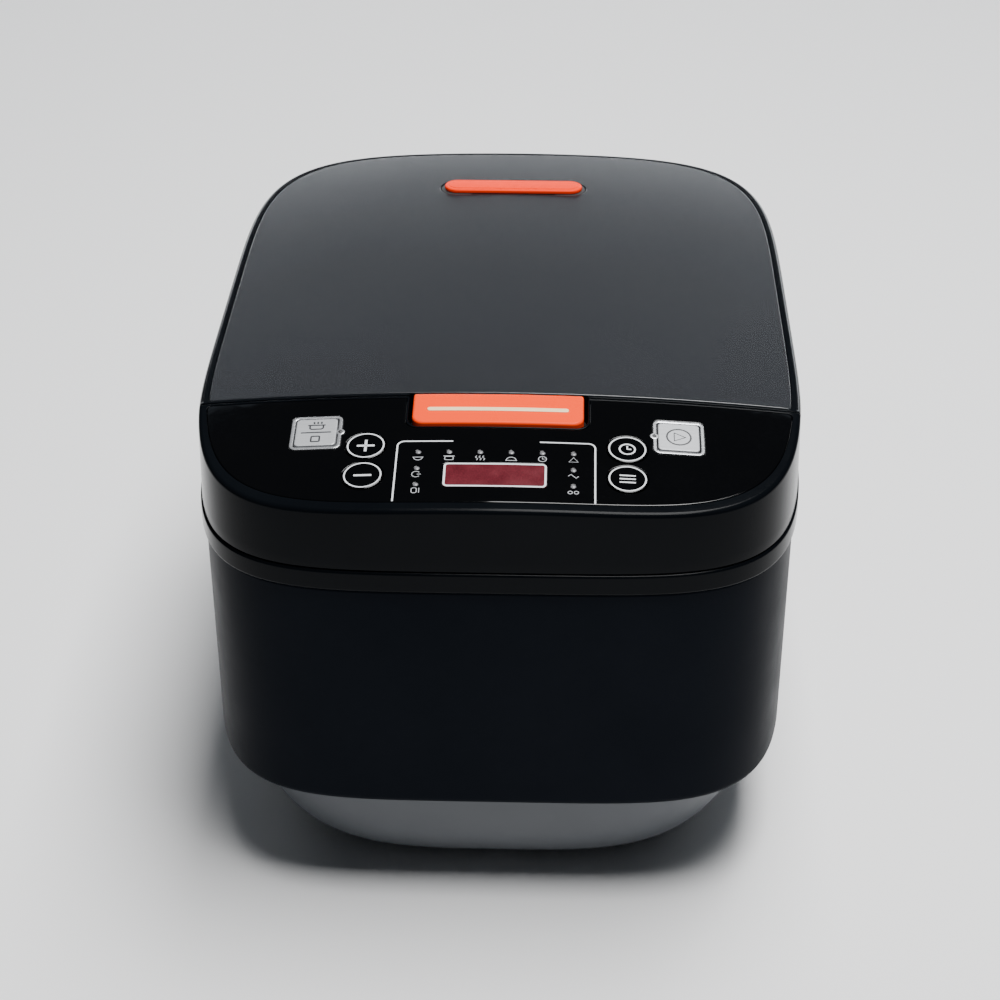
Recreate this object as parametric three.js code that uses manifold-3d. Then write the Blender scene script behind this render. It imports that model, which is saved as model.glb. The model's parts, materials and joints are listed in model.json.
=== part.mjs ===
// A countertop electric multicooker, built as an assembly of separate pieces.
// Millimetres, +Z up, front faces -Y. The origin is on the ground, under the middle of the body.

import * as THREE from 'three';
import { mergeVertices } from 'three/addons/utils/BufferGeometryUtils.js';
import Module from 'manifold-3d';

const wasm = await Module();
wasm.setup();

// ---------------------------------------------------------------- driving dimensions

const GAP = 0.3;                 // left between pieces that touch
const SLIDE_GAP = 0.4;           // round a key or a cap that slides

const WIDTH = 273;               // across the trim band
const DEPTH = 363;               // front to back across the trim band
const CORNER_POWER = 4.9;        // squareness of the rounded outline
const OUTLINE_STEPS = 40;

const FOOT_HEIGHT = 5;
const BASE_HEIGHT = 50;
const SHELL_HEIGHT = 115;
const BAND_HEIGHT = 10;
const LID_HEIGHT = 45;           // trim band to the crown of the lid
const CROWN_DROP = 6.9;          // fall of the top from its middle line to each side
const REAR_DROP = 2.6;           // fall of the lid towards its back edge

const CONSOLE_DEPTH = 77.5;      // front of the body to the line where the lid begins
const CONSOLE_TILT = 10.2;       // degrees, console falling towards the front

const WALL = 2.5;
const SHELL_INSET = 1.6;         // body side inside the trim band
const SHELL_DRAFT = 1;           // extra inset at the foot of the body side
const SHELL_LIP = 10;            // turned-in lip at the foot of the body side
const SKIRT_INSET = 0.7;         // lid and console sides inside the trim band, at their foot
const SKIRT_DRAFT = 0.8;         // extra inset at their top

const BASE_INSET = 9.5;
const BASE_SLOPE = 32;           // how far the base runs in from its top to its floor
const BASE_POWER = 3.52;
const BASE_CURVE_STEPS = 5;
const BASE_VENT = { count: 5, pitch: 14, width: 5, length: 36, fromFront: 83.5 };

const FOOT_RADIUS = 11;
const FOOT_INSET = 29;           // foot centre inside the floor's edge, from each side

const DECK_THICKNESS = 3.5;
const DECK_DROP = 4;             // deck surface below the top of the trim band

const POT_MARGIN = 26.5;         // pot wall inside the nearest outer side
const POT_FORWARD = 6.7;         // pot centre in front of the middle of the lid
const POT_WALL = 1.5;
const POT_CORNER = 18;
const POT_RIM = 8;
const LINER_CLEARANCE = 3;
const LINER_WALL = 1;
const LINER_FLANGE = 7;
const PLATE_TOP = 36.7;          // top of the heating plate above the bottom of the base
const PLATE_THICKNESS = 11.5;
const PLATE_MARGIN = 22;         // plate edge inside the pot wall
const ELEMENT_INSET = 28;        // element ring inside the plate edge
const ELEMENT_RADIUS = 4;
const POST_INSET = 12;           // post inside the plate edge
const POST_RADIUS = 5;
const POST_BORE = 2.1;
const POST_SCREW_RADIUS = 1.9;
const SENSOR_RADIUS = 13;
const SENSOR_TRAVEL = 3;

const FRAME_FRONT = 2.2;         // lid frame in front of the matte panel
const FRAME_SIDE = 4.2;          // lid frame beside and behind the matte panel
const PANEL_THICKNESS = 1.6;
const LID_SHEET = 2.4;           // sheet of the lid shell under the panel
const LID_FRONT_WALL = 4;
const HINGE_INSET = 3.6;         // hinge axis inside the back of the lid
const HINGE_RISE = 4.2;          // hinge axis above the trim band
const SHAFT_RADIUS = 1.5;
const KNUCKLE_RADIUS = 3.5;
const LUG_X = 56;
const LUG_WIDTH = 8;
const LUG_CLEARANCE = 0.65;      // lug to the band behind it
const SPRING_SLOT = 26;          // middle gap in the lid's knuckle, where the hinge spring sits
const FRAME_THICKNESS = 2.4;     // lid inner frame
const GASKET_SECTION = 7;
const VENT = { length: 76, width: 18, depth: 11, wall: 1.2, inset: 14.05 };   // inset from the pot wall
const VENT_TRIM = { length: 72, width: 13.6, thickness: 2 };
const VALVE_RADIUS = 11;

const FASCIA_SIDE = 3.2;         // console rim beside the fascia
const FASCIA_FRONT = 5.4;        // console rim in front of the fascia
const FASCIA_BACK = 1.2;         // console rim behind the fascia
const FASCIA_THICKNESS = 1.8;
const CONSOLE_SHEET = 2.6;

const BUTTON = { width: 75, depth: 20.6, thickness: 6, rise: 1.2, overhang: 1.1, gap: 1.8, corner: 4 };
const BUTTON_TRAVEL = 3.5;

const SQUARE_KEY = { x: 78.6, v: -24.6, size: 18.6, frame: 23 };       // v: up the slope from the seam
const ROUND_KEY = { x: 56.3, fromFront: [43.9, 24.3], radius: 8.8 };   // up the slope from the front
const KEY_RISE = 0.5;
const KEY_TRAVEL = 0.8;
const KEY_SKIRT = 5;
const SWITCH = { size: 6, height: 6.4 };
const BOARD_DEPTH = 19;          // control board below the console surface
const BOARD_THICKNESS = 1.6;
const DISPLAY = { width: 44, depth: 15.4, fromFront: 24.8, corner: 2 };
const PIP_RADIUS = 1.2;
const PIP_COLUMNS = 33.3;
const PIP_ROWS = [39.8, 29.1, 18.6];                                   // up the slope from the front
const PIP_PITCH = 13.3;

const INLET = { x: 30, z: 85, width: 30, height: 22, depth: 24, flange: 1.6, socket: 16, ears: 12 };
const INLET_SCREW = { radius: 1.4, head: 3, sink: 1, length: 11 };

// ---------------------------------------------------------------- places worked out from them

const HALF_WIDTH = WIDTH / 2;
const HALF_DEPTH = DEPTH / 2;
const BASE_Z = FOOT_HEIGHT;
const SHELL_Z = BASE_Z + BASE_HEIGHT;
const BAND_Z = SHELL_Z + SHELL_HEIGHT;
const TOP_Z = BAND_Z + BAND_HEIGHT;
const CROWN_Z = TOP_Z + LID_HEIGHT;
const DECK_Z = TOP_Z - DECK_DROP;
const FLOOR_Z = BASE_Z + WALL;

const CONSOLE_Y = CONSOLE_DEPTH - HALF_DEPTH;
const TILT = THREE.MathUtils.degToRad(CONSOLE_TILT);
const SLOPE = CONSOLE_DEPTH / Math.cos(TILT);
const ROUND_KEY_V = ROUND_KEY.fromFront.map((distance) => distance - SLOPE);
const DISPLAY_V = DISPLAY.fromFront - SLOPE;
const [PIP_TOP_ROW, ...PIP_SIDE_ROWS] = PIP_ROWS.map((distance) => distance - SLOPE);
const LID_FRONT_Y = CONSOLE_Y + 0.4;
const CONSOLE_BACK_Y = CONSOLE_Y - 0.4;

const WELL_DEPTH = HALF_DEPTH - CONSOLE_Y;
const POT_RADIUS = Math.min(HALF_WIDTH, WELL_DEPTH / 2) - POT_MARGIN;
const POT_Y = (HALF_DEPTH + CONSOLE_Y) / 2 - POT_FORWARD;
const LINER_RADIUS = POT_RADIUS + LINER_CLEARANCE;
const LINER_OUTER = LINER_RADIUS + LINER_WALL;
const PLATE_Z = BASE_Z + PLATE_TOP;
const PLATE_RADIUS = POT_RADIUS - PLATE_MARGIN;
const ELEMENT_RING = PLATE_RADIUS - ELEMENT_INSET;
const POST_RING = PLATE_RADIUS - POST_INSET;
const POT_BOTTOM = PLATE_Z + GAP;
const LINER_FLANGE_Z = DECK_Z + GAP;
const POT_RIM_Z = LINER_FLANGE_Z + LINER_WALL + GAP;
const POT_TOP = POT_RIM_Z + POT_WALL;

const HINGE_Y = HALF_DEPTH - SKIRT_INSET - SKIRT_DRAFT / 2 - HINGE_INSET;
const HINGE_Z = TOP_Z + HINGE_RISE;
const VENT_Y = POT_Y + POT_RADIUS - VENT.inset;
const PANEL_CLEARANCE = 0.25;

const COLOURS = {
  shell: ['#0d0f12', 0.34, 0],
  gloss: ['#08090b', 0.12, 0],
  matte: ['#3a3c3f', 0.62, 0],
  base: ['#4b515b', 0.5, 0],
  rubber: ['#0c0c0d', 0.85, 0],
  orange: ['#f4741d', 0.32, 0],
  silver: ['#c6c9cc', 0.36, 0.6],
  white: ['#dcdfe2', 0.4, 0],
  lens: ['#4a0d12', 0.12, 0],
  board: ['#0f4a2c', 0.5, 0],
  part: ['#26282b', 0.55, 0],
  steel: ['#b4b7ba', 0.3, 1],
  spring: ['#9a9da0', 0.35, 1],
  aluminium: ['#b9bbbd', 0.38, 1],
  coating: ['#2b2c2e', 0.45, 0.2],
  silicone: ['#8d9093', 0.7, 0],
  wire: ['#d0d2d4', 0.6, 0],
};

// ---------------------------------------------------------------- solids

/** Closed geometry with shared vertices and its faces pointing out. */
function closed(geometry) {
  const bare = geometry.index ? geometry.toNonIndexed() : geometry.clone();
  bare.deleteAttribute('normal');
  bare.deleteAttribute('uv');
  const merged = mergeVertices(bare, 1e-4);
  const p = merged.attributes.position;
  const kept = [];
  let volume = 0;
  for (let i = 0; i < merged.index.count; i += 3) {
    const [a, b, c] = [0, 1, 2].map((k) => merged.index.getX(i + k));
    if (a === b || b === c || c === a) continue;
    kept.push(a, b, c);
    const [A, B, C] = [a, b, c].map((k) => new THREE.Vector3().fromBufferAttribute(p, k));
    volume += A.dot(B.cross(C));
  }
  if (volume < 0) {
    for (let i = 0; i < kept.length; i += 3) [kept[i], kept[i + 1]] = [kept[i + 1], kept[i]];
  }
  merged.setIndex(kept);
  return merged;
}

/** The same shape as a manifold solid. */
function solid(geometry) {
  const shape = closed(geometry);
  return new wasm.Manifold(new wasm.Mesh({
    numProp: 3,
    vertProperties: new Float32Array(shape.attributes.position.array),
    triVerts: new Uint32Array(shape.index.array),
  }));
}

/** A manifold solid as geometry for a mesh. */
function geometryOf(body) {
  const mesh = body.getMesh();
  const geometry = new THREE.BufferGeometry();
  geometry.setAttribute('position', new THREE.BufferAttribute(new Float32Array(mesh.vertProperties), 3));
  geometry.setIndex(new THREE.BufferAttribute(new Uint32Array(mesh.triVerts), 1));
  return geometry;
}

const joined = (...shapes) => shapes.reduce((a, b) => a.add(b));

/** A box between two corners. */
function box(x0, x1, y0, y1, z0, z1) {
  const geometry = new THREE.BoxGeometry(x1 - x0, y1 - y0, z1 - z0);
  return geometry.translate((x0 + x1) / 2, (y0 + y1) / 2, (z0 + z1) / 2);
}

/** An upright cylinder from z0 to z1. */
function post(radius, z0, z1, x = 0, y = 0, sides = 16) {
  const geometry = new THREE.CylinderGeometry(radius, radius, z1 - z0, sides).rotateX(Math.PI / 2);
  return geometry.translate(x, y, (z0 + z1) / 2);
}

/** A cylinder along X from x0 to x1. */
function rod(radius, x0, x1, y, z, sides = 14) {
  const geometry = new THREE.CylinderGeometry(radius, radius, x1 - x0, sides).rotateZ(Math.PI / 2);
  return geometry.translate((x0 + x1) / 2, y, z);
}

/** A turned piece about an upright axis, from [radius, height] points. */
function turned(profile, x = 0, y = 0, sides = 32) {
  const points = profile.map(([r, z]) => new THREE.Vector2(r, z));
  return new THREE.LatheGeometry(points, sides).rotateX(Math.PI / 2).translate(x, y, 0);
}

/** A closed loop of turned points: the last point meets the first. */
function turnedRing(profile, x = 0, y = 0, sides = 32) {
  return turned([...profile, profile[0]], x, y, sides);
}

/** A flat shape pulled up from z0 to z1. */
function plate(shape, z0, z1, curveSegments = 4) {
  const settings = { depth: z1 - z0, bevelEnabled: false, curveSegments };
  return new THREE.ExtrudeGeometry(shape, settings).translate(0, 0, z0);
}

/** A rectangle with rounded corners about a centre. */
function roundedRect(width, height, radius, x = 0, y = 0) {
  const w = width / 2;
  const h = height / 2;
  const r = Math.min(radius, w, h);
  const shape = new THREE.Shape();
  shape.moveTo(x - w + r, y - h);
  shape.lineTo(x + w - r, y - h);
  shape.absarc(x + w - r, y - h + r, r, -Math.PI / 2, 0);
  shape.lineTo(x + w, y + h - r);
  shape.absarc(x + w - r, y + h - r, r, 0, Math.PI / 2);
  shape.lineTo(x - w + r, y + h);
  shape.absarc(x - w + r, y + h - r, r, Math.PI / 2, Math.PI);
  shape.lineTo(x - w, y - h + r);
  shape.absarc(x - w + r, y - h + r, r, Math.PI, Math.PI * 1.5);
  return shape;
}

/** A round wire or tube along points. */
function tube(points, radius, steps, sides = 6) {
  const section = new THREE.Shape();
  for (let i = 0; i < sides; i += 1) {
    const angle = (i / sides) * 2 * Math.PI;
    const place = [radius * Math.cos(angle), radius * Math.sin(angle)];
    if (i === 0) section.moveTo(...place);
    else section.lineTo(...place);
  }
  const extrudePath = new THREE.CatmullRomCurve3(points);
  return new THREE.ExtrudeGeometry(section, { extrudePath, steps, bevelEnabled: false });
}

/** Points of a coil about an upright axis. */
function coil(radius, z0, z1, turns, perTurn = 8) {
  const count = turns * perTurn;
  return Array.from({ length: count + 1 }, (_, i) => {
    const angle = (i / perTurn) * 2 * Math.PI;
    return new THREE.Vector3(radius * Math.cos(angle), radius * Math.sin(angle), z0 + ((z1 - z0) * i) / count);
  });
}

// ---------------------------------------------------------------- the rounded outline

/** One level of a loft: the body's outline, brought in by inset, at height z. */
function level(inset, z, power = CORNER_POWER) {
  return { a: HALF_WIDTH - inset, b: HALF_DEPTH - inset, power, z };
}

/** Outline points of a level, counter-clockwise from +X. */
function outline({ a, b, power, z }) {
  return Array.from({ length: OUTLINE_STEPS }, (_, i) => {
    const t = (i / OUTLINE_STEPS) * 2 * Math.PI;
    const c = Math.cos(t);
    const s = Math.sin(t);
    const x = a * Math.sign(c) * Math.abs(c) ** (2 / power);
    const y = b * Math.sign(s) * Math.abs(s) ** (2 / power);
    return [x, y, z];
  });
}

/** Skin through levels. An open stack is capped at both ends; a ring's last level meets its first. */
function loft(levels, ring = false) {
  const n = OUTLINE_STEPS;
  const positions = levels.flatMap((one) => outline(one).flat());
  const index = [];
  const spans = ring ? levels.length : levels.length - 1;
  for (let k = 0; k < spans; k += 1) {
    const low = k * n;
    const high = ((k + 1) % levels.length) * n;
    for (let i = 0; i < n; i += 1) {
      const j = (i + 1) % n;
      index.push(low + i, low + j, high + j, low + i, high + j, high + i);
    }
  }
  if (!ring) {
    const first = positions.length / 3;
    positions.push(0, 0, levels[0].z, 0, 0, levels.at(-1).z);
    const top = (levels.length - 1) * n;
    for (let i = 0; i < n; i += 1) {
      const j = (i + 1) % n;
      index.push(first, j, i, first + 1, top + i, top + j);
    }
  }
  const geometry = new THREE.BufferGeometry();
  geometry.setAttribute('position', new THREE.BufferAttribute(new Float32Array(positions), 3));
  geometry.setIndex(index);
  return geometry;
}

/** Solid over a rectangle between two height functions. */
function slab(xs, ys, low, high) {
  const nx = xs.length;
  const ny = ys.length;
  const positions = [];
  for (const height of [low, high]) {
    for (const y of ys) for (const x of xs) positions.push(x, y, height(x, y));
  }
  const at = (i, j, top) => (top ? nx * ny : 0) + j * nx + i;
  const index = [];
  const quad = (a, b, c, d) => index.push(a, b, c, a, c, d);
  for (let j = 0; j < ny - 1; j += 1) {
    for (let i = 0; i < nx - 1; i += 1) {
      quad(at(i, j, 1), at(i + 1, j, 1), at(i + 1, j + 1, 1), at(i, j + 1, 1));
      quad(at(i, j, 0), at(i, j + 1, 0), at(i + 1, j + 1, 0), at(i + 1, j, 0));
    }
  }
  for (let i = 0; i < nx - 1; i += 1) {
    quad(at(i, 0, 0), at(i + 1, 0, 0), at(i + 1, 0, 1), at(i, 0, 1));
    quad(at(i + 1, ny - 1, 0), at(i, ny - 1, 0), at(i, ny - 1, 1), at(i + 1, ny - 1, 1));
  }
  for (let j = 0; j < ny - 1; j += 1) {
    quad(at(0, j + 1, 0), at(0, j, 0), at(0, j, 1), at(0, j + 1, 1));
    quad(at(nx - 1, j, 0), at(nx - 1, j + 1, 0), at(nx - 1, j + 1, 1), at(nx - 1, j, 1));
  }
  const geometry = new THREE.BufferGeometry();
  geometry.setAttribute('position', new THREE.BufferAttribute(new Float32Array(positions), 3));
  geometry.setIndex(index);
  return geometry;
}

const spaced = (from, to, count) => (
  Array.from({ length: count + 1 }, (_, i) => from + ((to - from) * i) / count)
);
const ACROSS = spaced(-HALF_WIDTH - 1, HALF_WIDTH + 1, 8);

const crown = (x) => CROWN_DROP * (x / HALF_WIDTH) ** 2;
const lidTop = (x, y) => CROWN_Z - crown(x) - REAR_DROP * Math.max(0, y / HALF_DEPTH) ** 3;
const consoleTop = (x, y) => CROWN_Z - crown(x) - Math.tan(TILT) * (CONSOLE_Y - y);

/** The part of the lid's block between a front line and the back, from z0 up to a depth under its top. */
function lidBlock(frontY, z0, depth) {
  const ys = [frontY, ...spaced(0, HALF_DEPTH + 1, 5)];
  return solid(slab(ACROSS, ys, () => z0, (x, y) => lidTop(x, y) - depth));
}

/** The console's block in front of a line, from z0 up to a depth under its surface. */
function consoleBlock(backY, z0, depth) {
  return solid(slab(ACROSS, [-HALF_DEPTH - 1, backY], () => z0, (x, y) => consoleTop(x, y) - depth));
}

/** The tilted layer of the console between two depths under its surface. */
function consoleLayer(backY, deep, shallow) {
  const low = (x, y) => consoleTop(x, y) - deep;
  const high = (x, y) => consoleTop(x, y) - shallow;
  return solid(slab(ACROSS, [-HALF_DEPTH - 1, backY], low, high));
}

/** Upright prism of the outline with insets at its foot and top. */
function prism(footInset, topInset, z0, z1, back = 0) {
  const foot = level(footInset, z0);
  const top = level(topInset, z1);
  for (const one of [foot, top]) one.b -= back;
  return solid(loft([foot, top]));
}

/** Where a console piece sits: its X lies along the crowned surface and its Z points out of it. */
function consoleSeat(x, v) {
  const line = new THREE.Matrix4().makeTranslation(0, CONSOLE_Y, CROWN_Z);
  const tilt = new THREE.Matrix4().makeRotationX(TILT);
  const place = new THREE.Matrix4().makeTranslation(x, v, -crown(x));
  const roll = new THREE.Matrix4().makeRotationY(Math.atan((2 * CROWN_DROP * x) / HALF_WIDTH ** 2));
  return line.multiply(tilt).multiply(place).multiply(roll);
}

/** A cut shape set in the console at a seat. */
const seated = (geometry, x, v) => solid(geometry.clone().applyMatrix4(consoleSeat(x, v)));

// ---------------------------------------------------------------- assembly

const cooker = new THREE.Group();
cooker.name = 'multicooker';
const bodyGroup = new THREE.Group();
const consoleGroup = new THREE.Group();
const heatGroup = new THREE.Group();
const lidGroup = new THREE.Group();
cooker.add(bodyGroup, consoleGroup, heatGroup, lidGroup);

/** A named mesh of its own material, added to a group. */
function add(group, name, geometry, look) {
  const [color, roughness, metalness] = COLOURS[look];
  const material = new THREE.MeshStandardMaterial({ color, roughness, metalness });
  const shape = geometry instanceof wasm.Manifold ? geometryOf(geometry) : closed(geometry);
  const mesh = new THREE.Mesh(shape, material);
  mesh.name = name;
  group.add(mesh);
  return mesh;
}

/** Places of the three plate posts round the pot axis. */
const postPlaces = [90, 210, 330].map((degrees) => {
  const angle = THREE.MathUtils.degToRad(degrees);
  return [POST_RING * Math.cos(angle), POT_Y + POST_RING * Math.sin(angle)];
});

// ---------------------------------------------------------------- base and body

const FLOOR_A = HALF_WIDTH - BASE_INSET - BASE_SLOPE;
const FLOOR_B = HALF_DEPTH - BASE_INSET - BASE_SLOPE;

function baseTray() {
  const curve = (inset, lift) => spaced(1, 0, BASE_CURVE_STEPS).map((w) => {
    const angle = (w * Math.PI) / 2;
    const depth = BASE_HEIGHT - GAP - lift;
    return level(BASE_INSET + inset + BASE_SLOPE * (1 - Math.cos(angle)),
      SHELL_Z - GAP - depth * Math.sin(angle), BASE_POWER);
  });
  let tray = solid(loft([...curve(0, 0), ...curve(WALL, WALL).reverse()]));
  for (let i = 0; i < BASE_VENT.count; i += 1) {
    const x = (i - (BASE_VENT.count - 1) / 2) * BASE_VENT.pitch;
    const y = BASE_VENT.fromFront - HALF_DEPTH;
    const { width, length } = BASE_VENT;
    const [w, l] = [width / 2, length / 2];
    tray = tray.subtract(solid(box(x - w, x + w, y - l, y + l, BASE_Z - 1, FLOOR_Z + 1)));
  }
  for (const [x, y] of postPlaces) {
    tray = tray.subtract(solid(post(POST_SCREW_RADIUS + SLIDE_GAP, BASE_Z - 1, FLOOR_Z + 1, x, y)));
  }
  return tray;
}

function foot(x, y) {
  const top = FOOT_HEIGHT - GAP;
  return turned([[0, 0], [FOOT_RADIUS - 1.5, 0], [FOOT_RADIUS, 1.5], [FOOT_RADIUS, top], [0, top]], x, y, 16);
}

function outerShell() {
  const low = SHELL_INSET + SHELL_DRAFT;
  const ring = [
    level(SHELL_INSET + SHELL_LIP, SHELL_Z),
    level(low + 4, SHELL_Z),
    level(low + 1, SHELL_Z + 2),
    level(low, SHELL_Z + 5),
    level(SHELL_INSET, BAND_Z - GAP),
    level(SHELL_INSET + WALL, BAND_Z - GAP),
    level(low + WALL, SHELL_Z + 6),
    level(SHELL_INSET + SHELL_LIP, SHELL_Z + WALL),
  ];
  const { x, z, width, height } = INLET;
  const hole = box(x - width / 2 - GAP, x + width / 2 + GAP, HALF_DEPTH - 20, HALF_DEPTH + 5,
    z - height / 2 - GAP, z + height / 2 + GAP);
  let shell = solid(loft(ring, true)).subtract(solid(hole));
  for (const side of [-1, 1]) {
    shell = shell.subtract(inletBar(side, INLET_SCREW.radius + SLIDE_GAP, HALF_DEPTH - 20, HALF_DEPTH + 5));
  }
  return shell;
}

function trimBand() {
  return loft([
    level(4, BAND_Z),
    level(0.5, BAND_Z),
    level(0, BAND_Z + 1.5),
    level(0, TOP_Z - 1.5),
    level(0.5, TOP_Z),
    level(4, TOP_Z),
  ], true);
}

const LATCH = { y: CONSOLE_Y - 8, z: DECK_Z + 10, pin: 1.5, ear: 3, halfWidth: 9, width: 12 };

function deckPlate() {
  let deck = prism(4 + GAP, 4 + GAP, DECK_Z - DECK_THICKNESS, DECK_Z);
  deck = deck.subtract(solid(post(LINER_OUTER + 0.6, DECK_Z - 10, DECK_Z + 10, 0, POT_Y, 48)));
  deck = deck.subtract(solid(box(-15, 15, CONSOLE_Y - 50, CONSOLE_Y - 38, DECK_Z - 10, DECK_Z + 10)));
  for (const side of [-1, 1]) {
    const x0 = side * LATCH.halfWidth;
    const x1 = side * (LATCH.halfWidth + LATCH.ear);
    const ear = box(Math.min(x0, x1), Math.max(x0, x1), LATCH.y - 5, LATCH.y + 4.6, DECK_Z - 1, LATCH.z + 4);
    deck = deck.add(solid(ear));
  }
  return deck.subtract(solid(rod(LATCH.pin + 0.1, -20, 20, LATCH.y, LATCH.z)));
}

/** How far back the body's outline reaches at x, brought in by inset. */
function outlineBack(inset, x) {
  const { a, b, power } = level(inset, 0);
  return b * (1 - (Math.abs(x) / a) ** power) ** (1 / power);
}

/** Steel lug that stands on the deck and carries one end of the hinge shaft. */
function hingeLug(side) {
  const x0 = side * LUG_X - LUG_WIDTH / 2;
  const back = outlineBack(4, LUG_X + LUG_WIDTH / 2) - LUG_CLEARANCE;
  const web = box(x0, x0 + LUG_WIDTH, HINGE_Y - 3.2, back, DECK_Z + GAP, HINGE_Z);
  const eye = rod(KNUCKLE_RADIUS - 0.1, x0, x0 + LUG_WIDTH, HINGE_Y, HINGE_Z);
  return joined(solid(web), solid(eye)).subtract(solid(rod(SHAFT_RADIUS + 0.1, x0 - 1, x0 + LUG_WIDTH + 1,
    HINGE_Y, HINGE_Z)));
}

// ---------------------------------------------------------------- power inlet

/** Rear face of the outer shell at a height. */
const shellBack = (z) => HALF_DEPTH - SHELL_INSET - (SHELL_DRAFT * (BAND_Z - z)) / SHELL_HEIGHT;

const INLET_BACK = shellBack(INLET.z) + GAP;
const INLET_FACE = INLET_BACK + INLET.flange;
const INLET_SCREW_X = INLET.width / 2 + INLET.ears / 2;

/** A round bar along Y, set on one of the inlet's two screw lines. */
function inletBar(side, radius, y0, y1) {
  const bar = new THREE.CylinderGeometry(radius, radius, y1 - y0, 12);
  return solid(bar.translate(INLET.x + side * INLET_SCREW_X, (y0 + y1) / 2, INLET.z));
}

function powerInlet() {
  const { x, z, width, height, depth, socket, ears } = INLET;
  const body = box(x - width / 2, x + width / 2, INLET_BACK - depth, INLET_FACE,
    z - height / 2, z + height / 2);
  const face = plate(roundedRect(width + 2 * ears, height + 4, 4), 0, INLET.flange, 3);
  face.rotateX(-Math.PI / 2).translate(x, INLET_BACK, z);
  const cavity = box(x - width / 2 + 3, x + width / 2 - 3, INLET_FACE - socket, INLET_FACE + 1,
    z - height / 2 + 3, z + height / 2 - 3);
  let inlet = joined(solid(body), solid(face)).subtract(solid(cavity));
  for (const [px, pz] of [[-6.5, -2], [0, 3], [6.5, -2]]) {
    const pin = box(x + px - 1, x + px + 1, INLET_FACE - socket - 1, INLET_FACE - socket + 10,
      z + pz - 2, z + pz + 2);
    inlet = inlet.add(solid(pin));
  }
  const seat = INLET_FACE - INLET_SCREW.sink;
  for (const side of [-1, 1]) {
    inlet = inlet.subtract(inletBar(side, INLET_SCREW.radius + SLIDE_GAP, INLET_BACK - 5, INLET_FACE + 1));
    inlet = inlet.subtract(inletBar(side, INLET_SCREW.head + SLIDE_GAP, seat - GAP, INLET_FACE + 1));
  }
  return inlet;
}

function inletScrew(side) {
  const { radius, head, sink, length } = INLET_SCREW;
  return joined(inletBar(side, radius, INLET_FACE - length, INLET_FACE - 0.1),
    inletBar(side, head, INLET_FACE - sink, INLET_FACE - 0.1));
}

// ---------------------------------------------------------------- console

const buttonBackY = LID_FRONT_Y + BUTTON.overhang - 0.4;
const BUTTON_V = (buttonBackY - CONSOLE_Y) / Math.cos(TILT) - BUTTON.depth / 2;
const DISPLAY_CUT = 0.3;
const pips = [
  ...[-2.5, -1.5, -0.5, 0.5, 1.5, 2.5].map((k) => [k * PIP_PITCH, PIP_TOP_ROW]),
  ...PIP_SIDE_ROWS.flatMap((v) => [[-PIP_COLUMNS, v], [PIP_COLUMNS, v]]),
];
const roundKeys = {
  plus_key: [-ROUND_KEY.x, ROUND_KEY_V[0]],
  minus_key: [-ROUND_KEY.x, ROUND_KEY_V[1]],
  upper_menu_key: [ROUND_KEY.x, ROUND_KEY_V[0]],
  lower_menu_key: [ROUND_KEY.x, ROUND_KEY_V[1]],
};
const squareKeys = { cancel: -SQUARE_KEY.x, start: SQUARE_KEY.x };

function buttonPocket(grow, z0, z1) {
  const width = BUTTON.width + 2 * grow;
  const depth = BUTTON.depth + grow + 6;
  const shape = roundedRect(width, depth, BUTTON.corner + grow, 0, (6 - grow) / 2);
  return seated(plate(shape, z0, z1, 3), 0, BUTTON_V);
}

function controlFascia() {
  const inset = SKIRT_INSET + SKIRT_DRAFT + FASCIA_SIDE;
  const plan = prism(inset, inset, TOP_Z, CROWN_Z + 20, FASCIA_FRONT - FASCIA_SIDE);
  let fascia = consoleLayer(CONSOLE_BACK_Y - FASCIA_BACK, FASCIA_THICKNESS, 0).intersect(plan);
  fascia = fascia.subtract(buttonPocket(BUTTON.gap, -6, 6));
  for (const x of Object.values(squareKeys)) {
    const size = SQUARE_KEY.frame + 2 * GAP;
    fascia = fascia.subtract(seated(plate(roundedRect(size, size, 2.5), -6, 6, 2), x, SQUARE_KEY.v));
  }
  for (const [x, v] of Object.values(roundKeys)) {
    fascia = fascia.subtract(seated(post(ROUND_KEY.radius + SLIDE_GAP, -6, 6, 0, 0, 16), x, v));
  }
  const { width, depth, corner } = DISPLAY;
  const cut = roundedRect(width + 2 * DISPLAY_CUT, depth + 2 * DISPLAY_CUT, corner);
  fascia = fascia.subtract(seated(plate(cut, -6, 6, 3), 0, DISPLAY_V));
  for (const [x, v] of pips) fascia = fascia.subtract(seated(post(PIP_RADIUS + 0.3, -6, 6, 0, 0, 6), x, v));
  return fascia;
}

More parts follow.
